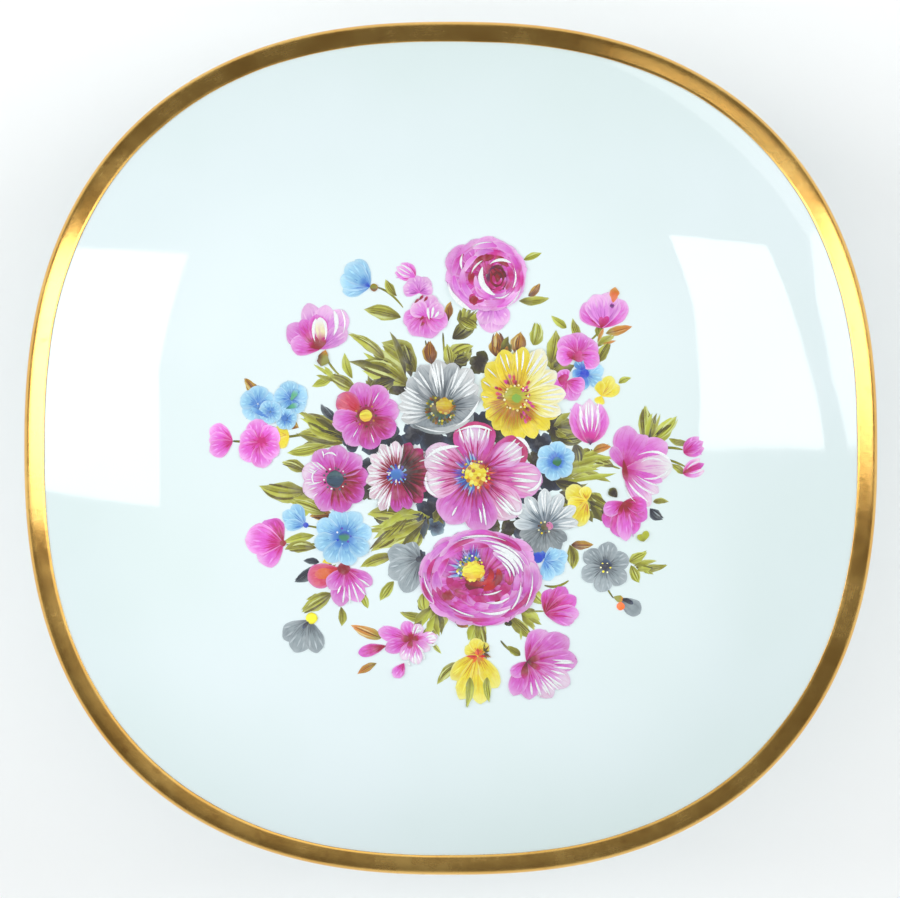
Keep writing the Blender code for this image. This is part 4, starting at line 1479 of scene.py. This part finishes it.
def paint_far_right():
    """The large open pink flower and two buds beyond it."""
    flower = Enamel("open_right", 3, 0.86)
    x, y = 22.0, -2.6
    pale = Wash((244, 214, 236), inner=ROSE, tip=WHITE, rim=WHITE, vein=PINK, veining=0.7)
    for aside, up, angle, length, width, wash, bend in (
        (0, 0, 84, 5.4, 3.4, PETAL, 0.4),
        (0, 0, 58, 5.0, 3.2, PETAL, 0),
        (0, 0, 32, 6.2, 3.6, PETAL, 0),
        (0, 0, 122, 3.2, 1.6, PETAL, 0),
        (-0.2, -0.4, -52, 5.4, 2.4, PETAL_LIT, 0),
        (0, 0, -36, 5.2, 2.0, PETAL_LIT, 0),
        (0, 0, 2, 6.0, 3.6, pale, 0),
        (0, 0, -18, 5.0, 1.6, PETAL, 0),
        (-0.2, 1.2, -82, 2.8, 0.8, Wash(CRIMSON, tip=MAGENTA, rim=ROSE), 0),
    ):
        flower.petal(x + aside, y + up, angle, length, width, wash, bend)
    flower.relief((
        ([(23.6, -0.9), (26.6, 0.4), (28.0, -2.0)], 0.34),
        ([(27.9, -2.2), (26.8, -4.2), (24.4, -3.8)], 0.28),
        ([(24.0, -1.8), (25.6, -0.8), (27.0, -1.8)], 0.24),
        ([(22.4, -4.2), (23.2, -5.6), (25.0, -6.8)], 0.30),
        ([(22.9, -3.8), (24.0, -5.2), (25.8, -5.8)], 0.24),
        ([(23.4, -3.4), (25.0, -4.6), (26.6, -4.8)], 0.20),
        ([(22.0, -4.6), (22.2, -6.0), (23.6, -7.0)], 0.20),
    ))
    flower.finish()
    bud("bud_far_right", 29.5, -0.6, 30, 2.9, 2.8, PETAL, stripes=0).finish()
    bud("bud_low_right", 29.4, -3.2, 24, 3.0, 2.2, PETAL_DEEP, PETAL_LIT, stripes=2).finish()


def paint_middle():
    """The magenta daisy and the striped one beside it."""
    daisy = Enamel("daisy_magenta", 4, 0.80)
    x, y = -14.6, -3.9
    tones = (PETAL_RED, PETAL, PETAL, PETAL, PETAL_LIT, PETAL_LIT, PETAL, PETAL_DEEP, PETAL_RED)
    for step, wash in enumerate(tones):
        daisy.petals(x, y, wash, ((4 + 40 * step, 4.3, 2.9),), 0.4, notch=0.06)
    daisy.lights(
        x, y, ((118, 3.0, 4.0), (134, 1.6, 3.2), (146, 2.0, 3.8), (160, 2.4, 3.6), (190, 1.6, 3.6)),
        0.20,
    )
    daisy.relief((
        ([(-16.6, -2.6), (-18.0, -3.2), (-17.2, -4.6)], 0.2),
        ([(-16.0, -0.9), (-15.2, -0.2), (-14.4, -1.0)], 0.24),
    ))
    for angle in (350, 8, 22, 318, 300, 280, 262):
        daisy.stroke([polar(x, y, angle, 1.1), polar(x, y, angle, 3.5)], 0.28, STREAK)
    daisy.dot(
        x, y, 1.1, Wash((84, 116, 140), left=(110, 150, 150), rim=SLATE, vein=NAVY, veining=0.6),
        crown=0.04 * MM,
    )
    daisy.stamens(x, y, 1.35, 16, [Wash(NAVY), Wash(TEAL), Wash(WHITE)], 0.12)
    daisy.finish()
    daisy = Enamel("daisy_striped", 4.6, 0.78)
    x, y = -6.8, -3.3
    daisy.dot(
        x, y - 0.2, 3.1,
        Wash((120, 10, 50), left=(150, 40, 90), rim=MAGENTA, vein=(80, 0, 30), veining=0.7),
        ragged=0.1,
    )
    for angle, length in ((68, 4.3), (44, 4.5), (22, 4.4), (0, 4.6), (-24, 4.5), (-48, 4.7)):
        daisy.petals(x, y, DARK_RED, ((angle, length, 2.1),), 0.4, blunt=0.62)
    for angle, length in (
        (92, 4.2), (118, 4.3), (143, 4.1), (168, 3.8), (194, 4.0), (220, 4.5), (246, 5.0)
    ):
        daisy.petals(x, y, STRIPED, ((angle, length, 1.8),), 0.4, blunt=0.62)
        for turn in (-9, 0, 9):
            daisy.mark(x, y, angle + turn, 0.8, length * 0.7, 0.19, STREAK)
        daisy.lights(x, y, ((angle - 7, 2.0, length - 0.3), (angle + 6, 2.2, length - 0.2)), 0.27)
    daisy.petals(x, y, PETAL_RED, ((270, 4.7, 1.9), (290, 4.6, 1.8)), 0.4)
    for angle in range(-60, 76, 8):
        daisy.mark(
            x, y, angle + daisy.random.uniform(-3, 3), 1.0, 3.6 + daisy.random.random(), 0.18,
            Wash((92, 2, 30), tip=CRIMSON),
        )
    daisy.lights(x, y, ((74, 2.6, 3.9), (30, 3.2, 4.1)), 0.14)
    daisy.dot(x, y, 0.85, Wash(BLUE, left=(120, 180, 250), rim=VIOLET), crown=0.04 * MM, ragged=0.12)
    for angle in range(0, 360, 24):
        daisy.mark(x, y, angle, 0.6, 1.4, 0.2, BLUE_SPOTS[angle // 24 % 4])
    daisy.stamens(x, y, 1.1, 14, BLUE_SPOTS, 0.12)
    daisy.finish()


def paint_central_daisy():
    """The largest daisy, in the middle, over all the others."""
    daisy = Enamel("daisy_central", 6, 0.80)
    x, y = 3.1, -3.3
    red_tip = Wash(
        PINK, inner=MAGENTA, tip=(216, 60, 124), rim=(228, 110, 176), vein=MAGENTA, veining=0.7
    )
    white_tip = Wash((240, 168, 216), inner=MAGENTA, tip=WHITE, rim=PALE, vein=MAGENTA, veining=0.7)
    rosy = Wash((238, 150, 212), inner=MAGENTA, tip=(248, 214, 236), rim=BLUSH, vein=ROSE, veining=0.7)
    shapes = (
        (31, 7.4, 4.4, red_tip),
        (-6, 8.4, 4.6, rosy),
        (-46, 7.4, 4.2, white_tip),
        (-82, 7.2, 4.4, PETAL),
        (-122, 7.0, 4.6, PETAL),
        (-168, 6.5, 4.2, white_tip),
        (156, 6.8, 4.4, white_tip),
        (92, 6.6, 5.4, red_tip),
    )
    for angle, length, width, wash in shapes:
        daisy.petals(x, y, wash, ((angle, length, width),), 0.5, peak=0.68, blunt=0.46)
    inside = Wash(PALE, inner=PINK, tip=WHITE, rim=BLUSH, vein=ROSE, veining=0.7)
    daisy.petals(x, y, inside, ((92, 5.9, 3.9), (30, 6.6, 3.2)), 1.9, peak=0.66, blunt=0.5)
    vein = Wash(MAGENTA, inner=CRIMSON, tip=PINK)
    for angle in (
        84, 96, 108, 24, 38, 4, -4, -14, -38, -54, -74, -90, -98, -114, -128, -138, -160, -172, 172,
        160, 148,
    ):
        daisy.stroke([polar(x, y, angle, 1.7), polar(x, y, angle + 2, 4.9)], 0.2, vein)
    for angle, near, far in (
        (110, 4.2, 6.2), (102, 4.4, 6.0), (94, 4.2, 6.0), (86, 4.2, 5.9), (78, 4.4, 6.1),
        (70, 4.6, 6.0),
        (40, 4.6, 6.8), (34, 4.4, 6.9), (27, 4.6, 6.9), (21, 4.6, 6.6),
        (2, 4.6, 7.9), (-4, 4.2, 8.0), (-10, 4.6, 7.6), (-16, 5.0, 7.2),
        (-40, 4.0, 6.9), (-46, 3.8, 7.0), (-52, 4.0, 6.8), (-76, 3.6, 6.6), (-84, 4.2, 6.2),
        (-120, 4.6, 6.0), (150, 3.8, 6.4), (157, 4.0, 6.5), (164, 4.0, 6.2), (-168, 3.8, 6.1),
        (-176, 4.2, 6.0),
    ):
        daisy.lights(x, y, ((angle, near, far),), 0.26)
    daisy.relief((
        ([(-3.2, -1.4), (-1.6, 0.4), (1.0, 0.2)], 0.50),
        ([(-3.1, -3.2), (-3.4, -5.4), (-1.8, -6.0)], 0.36),
        ([(6.2, -7.0), (8.6, -9.2), (9.0, -7.6)], 0.40),
        ([(0.6, 2.0), (3.0, 3.4), (5.2, 2.2)], 0.34),
        ([(10.0, -0.9), (9.8, 1.0), (8.2, 1.4)], 0.44),
        ([(11.4, -3.2), (11.4, -5.2), (9.6, -5.4)], 0.40),
    ))
    blues = (
        Wash(BLUE, tip=BLUSH), Wash(VIOLET, tip=PINK), Wash(SKY, tip=PALE),
        Wash((96, 110, 190), tip=LILAC.main),
    )
    reds = (STREAK, Wash(SCARLET, tip=PINK), Wash(ORANGE, tip=ROSE))
    for step in range(44):
        angle = daisy.random.uniform(88, 268)
        length = daisy.random.uniform(2.0, 3.3)
        daisy.mark(x, y, angle, 1.0, length, daisy.random.uniform(0.18, 0.36), blues[step % 4])
    for step in range(34):
        angle = daisy.random.uniform(-96, 44)
        length = daisy.random.uniform(1.9, 3.1)
        daisy.mark(x, y, angle, 1.0, length, daisy.random.uniform(0.18, 0.36), reds[step % 3])
    daisy.dot(x, y + 0.1, 1.35, EYE, crown=0.08 * MM, ragged=0.1)
    daisy.stamens(
        x, y, 1.6, 26, [Wash(LEMON), Wash(AMBER), Wash(SCARLET), Wash(CREAM)], 0.15, -120, 200
    )
    golden_eye(daisy, x, y)
    daisy.finish()


def paint_low_rose():
    """The large rose with an open golden eye, under the middle."""
    rose = Enamel("rose_low", 5, 0.84)
    x, y = 3.6, -16.3
    eye = (2.8, -15.5)
    broad = dict(peak=0.7, blunt=0.4)
    outer = (
        (176, 7.6, 5.6), (146, 6.8, 5.2), (116, 6.2, 5.0), (84, 6.0, 5.4), (54, 6.4, 5.2),
        (26, 7.4, 5.2), (0, 7.8, 5.2), (334, 7.4, 5.2), (304, 6.6, 5.4), (274, 6.1, 5.6),
        (242, 6.4, 5.6), (208, 7.0, 5.4),
    )
    rose.petals(x, y, PETAL, outer, 0.6, **broad)
    light = [PETAL_PALE, LILAC, Wash(BLUSH, tip=PALE, inner=PINK, vein=ROSE, veining=0.6)]
    mid = [PETAL, Wash(PINK, tip=BLUSH, inner=ROSE, vein=MAGENTA, veining=0.7), LILAC]
    deep = [
        Wash(MAGENTA, inner=ROSE, tip=PINK),
        Wash(ROSE, inner=CRIMSON, tip=PINK, vein=CRIMSON, veining=0.8),
    ]
    rose.arcs(x, y, 6.6, 5.2, 20, 380, 13, 1.3, mid + light)
    rose.arcs(x, y, 5.9, 4.5, 10, 370, 11, 1.2, mid + light)
    rose.arcs(x, y, 5.2, 3.9, 90, 290, 7, 1.1, mid)
    rose.arcs(x, y, 4.9, 3.6, -80, 60, 5, 1.1, light)
    for first, last, across, along, width in (
        (196, 236, 5.6, 4.2, 0.8), (150, 186, 6.4, 4.8, 0.6), (300, 350, 7.0, 5.2, 0.6),
        (96, 140, 5.4, 4.8, 0.6), (40, 84, 6.6, 5.2, 0.5), (240, 290, 6.4, 5.4, 0.5),
        (186, 216, 7.2, 5.4, 0.5),
    ):
        rose.arc(x, y, across, along, first, last, width, deep[first % 2])
    rose.dot(-0.4, -18.6, 0.7, RED_EYE, ragged=0.25)
    rose.arcs(3.8, -16.4, 3.9, 2.8, 180, 330, 5, 1.2, mid + deep)
    rose.arcs(3.8, -16.6, 3.4, 2.4, 190, 380, 6, 1.1, deep)
    rose.arcs(4.6, -18.4, 2.6, 1.6, 200, 350, 4, 0.9, light)
    red = [Wash(CRIMSON, tip=SCARLET), Wash(SCARLET, tip=CRIMSON), Wash((140, 8, 40), tip=CRIMSON)]
    rose.arcs(3.6, -16.0, 2.4, 1.8, 230, 380, 3, 1.1, red)
    rose.arcs(3.4, -15.9, 1.7, 1.3, 220, 370, 2, 1.0, red)
    rose.arcs(2.4, -16.8, 2.6, 1.4, 200, 300, 3, 0.7, deep)
    blues = (
        Wash(BLUE, tip=BLUSH), Wash(VIOLET, tip=PINK), Wash(SKY, tip=PALE),
        Wash((150, 160, 224), tip=PALE),
    )
    for step in range(36):
        angle = rose.random.uniform(66, 200)
        rose.mark(
            *eye, angle, 1.0, rose.random.uniform(2.2, 3.6), rose.random.uniform(0.16, 0.34),
            blues[step % 4],
        )
    greens = (Wash(TEAL, tip=LIME), Wash((80, 150, 90), tip=YELLOW), Wash(OLIVE, tip=LEMON))
    for step in range(16):
        angle = rose.random.uniform(60, 190)
        rose.mark(*eye, angle, 0.9, rose.random.uniform(1.5, 2.1), 0.3, greens[step % 3])
    rose.dot(*eye, 1.3, EYE, crown=0.07 * MM, ragged=0.14)
    golden_eye(rose, *eye)
    rose.stamens(2.7, -15.4, 1.7, 20, [Wash(LEMON), Wash(WHITE), Wash(TEAL), Wash(LIME)], 0.15, 40, 220)
    raised = dict(crown=RAISED, white=True, peak=0.55, ragged=0.12)
    for across, along, first, last, width in (
        (5.6, 4.2, 10, 74, 0.62), (5.0, 3.7, 6, 70, 0.50), (4.4, 3.2, 2, 60, 0.42),
        (6.1, 4.7, 20, 90, 0.26),
        (6.8, 5.3, 60, 110, 0.20), (3.9, 2.8, 0, 44, 0.26),
    ):
        rose.arc(x, y, across, along, first, last, width, Wash(WHITE), **raised)
    rose.relief((
        ([(10.2, -15.6), (10.6, -17.8), (9.4, -20.0)], 0.20),
        ([(8.8, -16.8), (9.0, -18.8), (7.6, -20.4)], 0.26),
        ([(3.6, -20.6), (5.6, -21.4), (7.6, -20.2)], 0.36),
        ([(4.4, -19.4), (6.0, -19.9), (7.4, -18.8)], 0.30),
        ([(4.0, -18.4), (5.2, -18.6), (6.4, -17.9)], 0.22),
        ([(-0.4, -19.8), (1.4, -21.0), (3.0, -21.2)], 0.20),
        ([(-3.4, -15.6), (-3.4, -17.4), (-2.2, -18.8)], 0.16),
        ([(0.6, -11.8), (2.6, -10.9), (4.6, -11.2)], 0.16),
    ))
    rose.finish()


def paint_low_left():
    """Blue, pink and grey flowers, and a pink spray."""
    blue = Enamel("blues_low_left", 2)
    blue.petals(-18.4, -9.7, SKY_PETAL, ((120, 3.0, 1.8), (150, 3.2, 2.0), (180, 2.6, 1.6)))
    blue.dot(-18.3, -9.7, 0.35, BLUE_EYE)
    blue.petals(-13.6, -11.2, SKY_PETAL, ring(8, 3.7, 2.5, 14), 0.3, notch=0.05)
    blue.petals(-13.6, -11.2, Wash(BLUE, inner=TEAL, tip=SKY), ring(7, 1.9, 0.8, 30))
    blue.dot(-13.4, -11.1, 0.7, Wash((90, 160, 130), left=COBALT, rim=BLUE))
    blue.stamens(-13.5, -11.1, 0.9, 7, BLUE_SPOTS, 0.14)
    blue.finish()
    heart = Enamel("heart_pink", 2, 1.04)
    x, y = -21.2, -12.0
    heart.petals(x, y, PETAL_DEEP, ((128, 3.6, 3.4),))
    heart.petals(x, y, PETAL, ((214, 3.8, 3.6), (172, 4.8, 4.0)), notch=0.04)
    for angle in (136, 152, 170, 188, 206):
        heart.stroke([polar(x, y, angle, 0.3), polar(x, y, angle, 2.6)], 0.16, Wash(MAGENTA, tip=PINK))
    heart.dot(x, y, 0.4, Wash(CRIMSON, rim=MAGENTA))
    heart.finish()
    grey = Enamel("grey_left", 2, 1.35)
    grey.petals(
        -3.9, -14.0, GREY_PETAL, ((132, 2.6, 2.2), (168, 4.1, 3.0), (206, 4.4, 3.0), (244, 4.6, 2.8))
    )
    grey.dot(-4.0, -14.0, 0.4, Wash(NAVY, rim=SLATE))
    grey.finish()
    warm = Enamel("warm_pink", 2.4, 0.86)
    warm.petals(-13.8, -15.4, PETAL_WARM, ((196, 4.4, 3.2),))
    warm.petal(-14.4, -15.6, 188, 2.8, 1.4, Wash(ORANGE, inner=SCARLET, tip=(240, 140, 130)))
    warm.petals(
        -13.4, -15.2, PETAL, ((330, 4.0, 2.0), (262, 4.8, 2.6), (296, 4.6, 2.6), (232, 3.2, 2.2))
    )
    warm.lights(
        -13.2, -15.4,
        (
            (326, 1.8, 3.6), (306, 1.8, 4.0), (294, 1.6, 4.4), (280, 1.8, 4.3), (266, 2.0, 4.2),
            (250, 2.0, 3.2),
        ),
        0.24,
    )
    warm.dot(-13.5, -15.2, 0.8, RED_EYE)
    warm.petal(-16.2, -14.4, 20, 1.6, 1.0, Wash(YELLOW, tip=LEMON))
    warm.finish()
    bell = Enamel("bell_grey", 2, 1.35)
    bell.petals(-17.9, -21.8, GREY_PETAL, ((214, 4.0, 2.6), (246, 4.4, 2.8), (284, 4.2, 2.4)))
    bell.dot(-17.6, -21.5, 0.75, Wash(LEMON, rim=OLIVE))
    bell.petal(-17.9, -21.8, 230, 1.3, 0.5, SOOT)
    bell.finish()
    spray = Enamel("spray_pink", 2.4)
    x, y = -4.9, -24.2
    spray.petals(x, y, PETAL, ((166, 4.4, 2.0), (200, 3.6, 2.0), (110, 2.5, 1.8)))
    spray.petals(-8.2, -25.0, PETAL_DEEP, ((196, 3.6, 1.6),))
    spray.petals(
        x, y, PETAL_LIT,
        ((60, 2.2, 1.6), (6, 3.2, 1.6), (330, 2.6, 1.4), (282, 3.2, 1.8), (246, 2.8, 1.6)),
    )
    spray.petals(-5.9, -27.2, PETAL, ((236, 2.2, 1.6),))
    spray.petals(x, y, STREAK, ((170, 1.4, 0.9), (100, 1.0, 0.7), (20, 1.0, 0.7), (250, 1.2, 0.7)))
    spray.relief((
        ([(-3.2, -24.0), (-2.4, -23.4), (-1.8, -24.2)], 0.34),
        ([(-3.0, -24.6), (-2.4, -25.2), (-1.8, -24.6)], 0.28),
        ([(-4.4, -25.6), (-4.8, -26.8), (-4.2, -27.4)], 0.34),
        ([(-5.2, -26.2), (-5.6, -27.2), (-5.0, -27.6)], 0.22),
        ([(-4.0, -25.2), (-3.2, -26.2), (-3.4, -26.8)], 0.26),
    ))
    spray.lights(x, y, ((62, 0.8, 1.9), (80, 0.7, 1.8), (50, 1.0, 1.7), (318, 0.8, 2.2)), 0.24)
    spray.finish()


def paint_low_right():
    """Blue, grey, yellow and pink flowers."""
    blue = Enamel("blue_low_right", 2)
    blue.petals(11.6, -14.0, BLUE_PETAL, ((120, 2.0, 2.0), (170, 2.2, 1.8), (80, 1.8, 1.8)))
    blue.petals(
        11.8, -14.2, SKY_PETAL, ((10, 3.0, 2.2), (330, 2.8, 2.2), (286, 2.6, 2.0), (40, 2.4, 1.8))
    )
    blue.dot(11.0, -13.8, 0.7, BLUE_EYE)
    blue.finish()
    daisy = Enamel("daisy_grey", 3, 0.84)
    x, y = 11.9, -9.9
    daisy.petals(
        x, y, GREY_PETAL,
        (
            (200, 3.4, 1.7), (224, 3.6, 1.9), (250, 3.5, 1.9), (278, 3.4, 1.9), (304, 3.4, 1.8),
            (328, 3.2, 1.6),
        ),
        0.2,
    )
    daisy.petals(
        x, y, SILVER_PETAL,
        (
            (174, 4.0, 1.5), (150, 4.4, 1.6), (122, 4.6, 1.7), (92, 4.8, 1.8), (62, 4.6, 1.8),
            (34, 4.6, 1.6), (8, 4.2, 1.5),
        ),
        0.2,
    )
    daisy.lights(
        x, y,
        (
            (124, 2.0, 4.2), (118, 1.8, 4.0), (96, 1.8, 4.5), (88, 1.8, 4.5), (66, 1.6, 4.3),
            (58, 1.8, 4.2), (38, 1.8, 4.2), (30, 1.8, 4.2), (12, 1.6, 3.9), (4, 1.6, 3.9),
        ),
        0.26,
    )
    daisy.dot(x, y, 0.55, Wash((120, 110, 60), rim=SLATE))
    daisy.dot(x + 0.5, y + 0.1, 0.5, Wash((226, 130, 180), rim=BLUSH))
    daisy.stamens(x - 0.1, y - 0.1, 0.7, 9, [Wash(YELLOW), Wash(BROWN), Wash(CREAM)], 0.12)
    daisy.finish()
    yellow = Enamel("yellow_low_right", 2.1)
    yellow.petals(
        17.2, -6.6, SOFT_YELLOW, ((150, 3.0, 2.4), (200, 2.6, 2.2), (250, 3.4, 2.2), (100, 1.8, 1.6))
    )
    yellow.finish()
    pink = Enamel("pink_low_right", 2.6)
    x, y = 21.8, -6.8
    pink.petals(
        x, y, PETAL_DEEP,
        ((236, 3.8, 2.6), (262, 4.4, 2.6), (290, 4.2, 2.6), (324, 3.6, 2.6), (350, 3.0, 2.2)),
    )
    pink.petals(x, y, PETAL, ((210, 2.8, 2.0), (274, 4.9, 2.0)))
    pink.petals(x, y, STREAK, ((250, 1.8, 0.6), (290, 1.8, 0.6), (330, 1.6, 0.6)))
    pink.petals(
        24.4, -11.8, Wash(LIME, inner=OLIVE, rim=(214, 216, 140)), ((74, 1.4, 0.9), (128, 1.1, 0.8))
    )
    pink.petal(21.0, -6.2, 130, 1.4, 1.2, Wash(BARK, tip=MOSS, rim=OLIVE))
    pink.finish()
    grey = Enamel("grey_flower", 2.4, 1.35)
    grey.petals(19.5, -15.0, GREY_PETAL, ring(6, 3.2, 2.4, 22), 0.2, notch=0.05)
    grey.dot(19.6, -14.8, 0.75, Wash(NAVY, left=SLATE, rim=SLATE))
    grey.stamens(19.5, -15.1, 0.6, 6, [Wash(LEMON), Wash(CREAM)], 0.12)
    grey.finish()
    bud_grey = Enamel("bud_grey", 2, 1.35)
    bud_grey.petal(21.4, -19.0, -36, 3.2, 2.2, GREY_PETAL)
    bud_grey.petal(21.4, -19.0, -24, 2.0, 0.9, SOOT)
    bud_grey.petal(20.6, -18.8, -20, 1.3, 0.9, Wash(OLIVE, tip=AMBER))
    bud_grey.dot(21.5, -20.0, 0.52, Wash(ORANGE, rim=(240, 110, 20)))
    bud_grey.finish()
    fan = Enamel("fan_pink", 2.4)
    x, y = 11.9, -20.9
    fan.petals(x, y, PETAL_DEEP, ((78, 3.2, 2.0), (52, 4.2, 2.4), (26, 4.4, 2.4)))
    fan.petals(x, y, PETAL, ((0, 4.3, 2.2), (-14, 3.8, 1.8)))
    for angle in (66, 40, 14, -8):
        fan.stroke([polar(x, y, angle, 0.4), polar(x, y, angle, 3.6)], 0.16, Wash(MAGENTA, tip=ROSE))
    fan.finish()
    yellow = Enamel("yellow_low", 2.4)
    x, y = 3.4, -26.0
    yellow.petals(
        x, y, SOFT_YELLOW,
        (
            (150, 1.8, 1.6), (100, 2.0, 1.8), (50, 1.8, 1.6), (226, 4.6, 2.4), (250, 6.2, 2.6),
            (274, 6.4, 2.8), (300, 5.0, 2.4),
        ),
    )
    yellow.leaf(2.4, -29.0, 2.0, -32.8, 1.1, "lime", 0.1)
    yellow.leaf(4.6, -29.0, 4.9, -32.2, 1.0, "lime", -0.1)
    red = (Wash(SCARLET, tip=ORANGE), Wash(ORANGE, tip=YELLOW), Wash(AMBER, tip=LEMON))
    for step in range(14):
        yellow.mark(
            x, y - 0.3, yellow.random.uniform(0, 360), 0.1, yellow.random.uniform(0.7, 1.6), 0.32,
            red[step % 3],
        )
    moss = (Wash(MOSS, tip=YELLOW), Wash(BROWN, tip=AMBER))
    for step in range(12):
        yellow.mark(
            x + 0.8, y + 0.2, yellow.random.uniform(-70, 100), 0.1, yellow.random.uniform(0.6, 1.5),
            0.2, moss[step % 2],
        )
    yellow.finish()
    pink = Enamel("open_low", 3, 0.86)
    x, y = 9.6, -27.0
    pink.petals(x, y, PETAL, ((58, 4.6, 3.4), (30, 6.0, 3.8), (0, 6.4, 3.2)))
    pink.petals(x, y, PETAL_LIT, ((332, 6.2, 3.0), (304, 5.6, 2.8)))
    pink.petals(x, y, PETAL, ((276, 4.8, 2.8), (248, 4.6, 2.4), (226, 2.6, 1.8)))
    pink.lights(x, y, ((4, 3.2, 5.8), (-4, 3.4, 6.0), (-12, 3.4, 5.8), (-20, 3.2, 5.2)), 0.28)
    pink.lights(
        x, y, ((326, 3.0, 5.6), (318, 2.6, 5.6), (308, 2.8, 5.2), (296, 2.4, 4.8), (282, 2.6, 4.4)),
        0.28,
    )
    pink.petals(
        x, y, Wash(CRIMSON, inner=(110, 20, 50), tip=ROSE),
        ((20, 1.8, 0.8), (260, 2.2, 0.9), (330, 2.0, 0.7)),
    )
    pink.finish()


def paint_bouquet():
    """From the ground of the bouquet up to the flowers in front."""
    paint_shade()
    paint_stems()
    paint_leaves()
    paint_foliage()
    paint_top_left()
    paint_far_left()
    paint_top_rose()
    paint_silver_daisy()
    paint_yellow_daisy()
    paint_right()
    paint_far_right()
    paint_middle()
    paint_low_rose()
    paint_central_daisy()
    paint_low_left()
    paint_low_right()


# ---------------------------------------------------------------- the studio

PANEL_AWAY = 0.60  # metres from the box to the soft boxes
ROOM_LIGHT = 0.17  # how bright the dim room looks
SHEET_LIGHT = 1.38  # and the sheet of light overhead
SHEET_LEAN = (-0.12, -0.17, 1.0)  # where the middle of the sheet is, seen from the box
SHEET_EDGES = (30, 55)  # degrees from its middle between which the sheet fades out
FLOOR_HALF = 3.0
FLOOR_GAP = 0.2 * MM  # keeps the floor clear of the foot
LENS = 200
SENSOR = 36
LID_SHARE = 71 / 75  # of the picture's width
LID_WIDEST = RIM + 3.3 * MM  # height at which the lid takes up that share
CAMERA_SHIFT = -0.1 * MM  # along X and Y, from the middle of the lid


def panel(name, azimuth, radiance, corners):
    """A soft box on an upright plane, PANEL_AWAY from the middle, on the side that an
    azimuth in degrees gives. Its corners are (sideways, height) in metres."""
    turn = math.radians(azimuth)
    points = []
    for sideways, height in corners:
        across = PANEL_AWAY * math.cos(turn) - sideways * math.sin(turn)
        along = PANEL_AWAY * math.sin(turn) + sideways * math.cos(turn)
        points.append((across, along, height))
    mesh = bpy.data.meshes.new(name)
    mesh.from_pydata(points, [], [tuple(range(len(points)))])
    nodes = Nodes(name)
    nodes.set(Base_Color=(0, 0, 0, 1), Emission_Color=(1, 1, 1, 1), Emission_Strength=radiance)
    mesh.materials.append(nodes.material)
    obj = bpy.data.objects.new(name, mesh)
    bpy.context.scene.collection.objects.link(obj)
    obj.visible_camera = False


def make_sky():
    """A dim room under a broad, soft-edged sheet of overhead light."""
    world = bpy.data.worlds.new("studio")
    bpy.context.scene.world = world
    world.use_nodes = True
    tree = world.node_tree
    background = tree.nodes["Background"]
    direction = tree.nodes.new("ShaderNodeTexCoord")
    lean = tree.nodes.new("ShaderNodeVectorMath")
    lean.operation = "DOT_PRODUCT"
    lean.inputs[1].default_value = Vector(SHEET_LEAN).normalized()
    ramp = tree.nodes.new("ShaderNodeMapRange")
    ramp.interpolation_type = "SMOOTHSTEP"
    for key, value in (
        ("From Min", math.cos(math.radians(SHEET_EDGES[1]))),
        ("From Max", math.cos(math.radians(SHEET_EDGES[0]))),
        ("To Min", ROOM_LIGHT),
        ("To Max", SHEET_LIGHT),
    ):
        ramp.inputs[key].default_value = value
    tree.links.new(direction.outputs["Generated"], lean.inputs[0])
    tree.links.new(lean.outputs["Value"], ramp.inputs["Value"])
    tree.links.new(ramp.outputs["Result"], background.inputs["Strength"])
    background.inputs["Color"].default_value = (0.97, 0.99, 1.0, 1)


def make_studio():
    """Soft boxes on both sides and at a corner, and a pale floor."""
    scene = bpy.context.scene
    scene.view_settings.view_transform = "Standard"
    make_sky()
    left = [(0.03, 0.18), (0.03, 0.32), (0.07, 0.65), (-0.10, 0.645), (-0.40, 0.75)]
    panel("left_box", 180, 5.0, left + [(-0.26, 0.37), (-0.25, 0.18)])
    right = [(0, 0.395), (0.11, 0.445), (0.33, 0.53), (0.58, 1.0), (0.29, 0.875)]
    panel("right_box", 0, 4.8, right + [(0.07, 0.83), (0, 0.835)])
    strip = [(0, 0.14), (0, 0.34), (0.06, 0.375), (0.18, 0.405), (0.32, 0.40), (0.33, 0.20)]
    panel("right_strip", 0, 4.0, strip)
    panel("corner_strip", 50, 1.6, [(-0.26, 0.31), (-0.26, 0.40), (0.25, 0.37), (0.25, 0.30)])

    floor = bpy.data.meshes.new("floor")
    corners = [(-1, -1), (1, -1), (1, 1), (-1, 1)]
    points = [(across * FLOOR_HALF, along * FLOOR_HALF, 0) for across, along in corners]
    floor.from_pydata(points, [], [(0, 1, 2, 3)])
    nodes = Nodes("floor")
    nodes.set(Base_Color=rgba(246, 247, 247), Roughness=0.8)
    floor.materials.append(nodes.material)
    stand = bpy.data.objects.new("floor", floor)
    scene.collection.objects.link(stand)
    stand.location.z = -FLOOR_GAP


def make_camera():
    """Straight down at the lid, from far off."""
    camera = bpy.data.cameras.new("camera")
    camera.sensor_width = SENSOR
    camera.lens = LENS
    obj = bpy.data.objects.new("camera", camera)
    bpy.context.scene.collection.objects.link(obj)
    view_width = (BAND_HIGH.x - BAND_LOW.x) / LID_SHARE
    distance = view_width * LENS / SENSOR
    obj.location = (CAMERA_SHIFT, CAMERA_SHIFT, LID_WIDEST + distance)
    bpy.context.scene.camera = obj


porcelain = porcelain_material()
gilding = gilding_material()
enamel = enamel_material()
make_camera()
make_studio()
make_base(porcelain)
make_lid(porcelain)
make_gilding(gilding)
paint_bouquet()
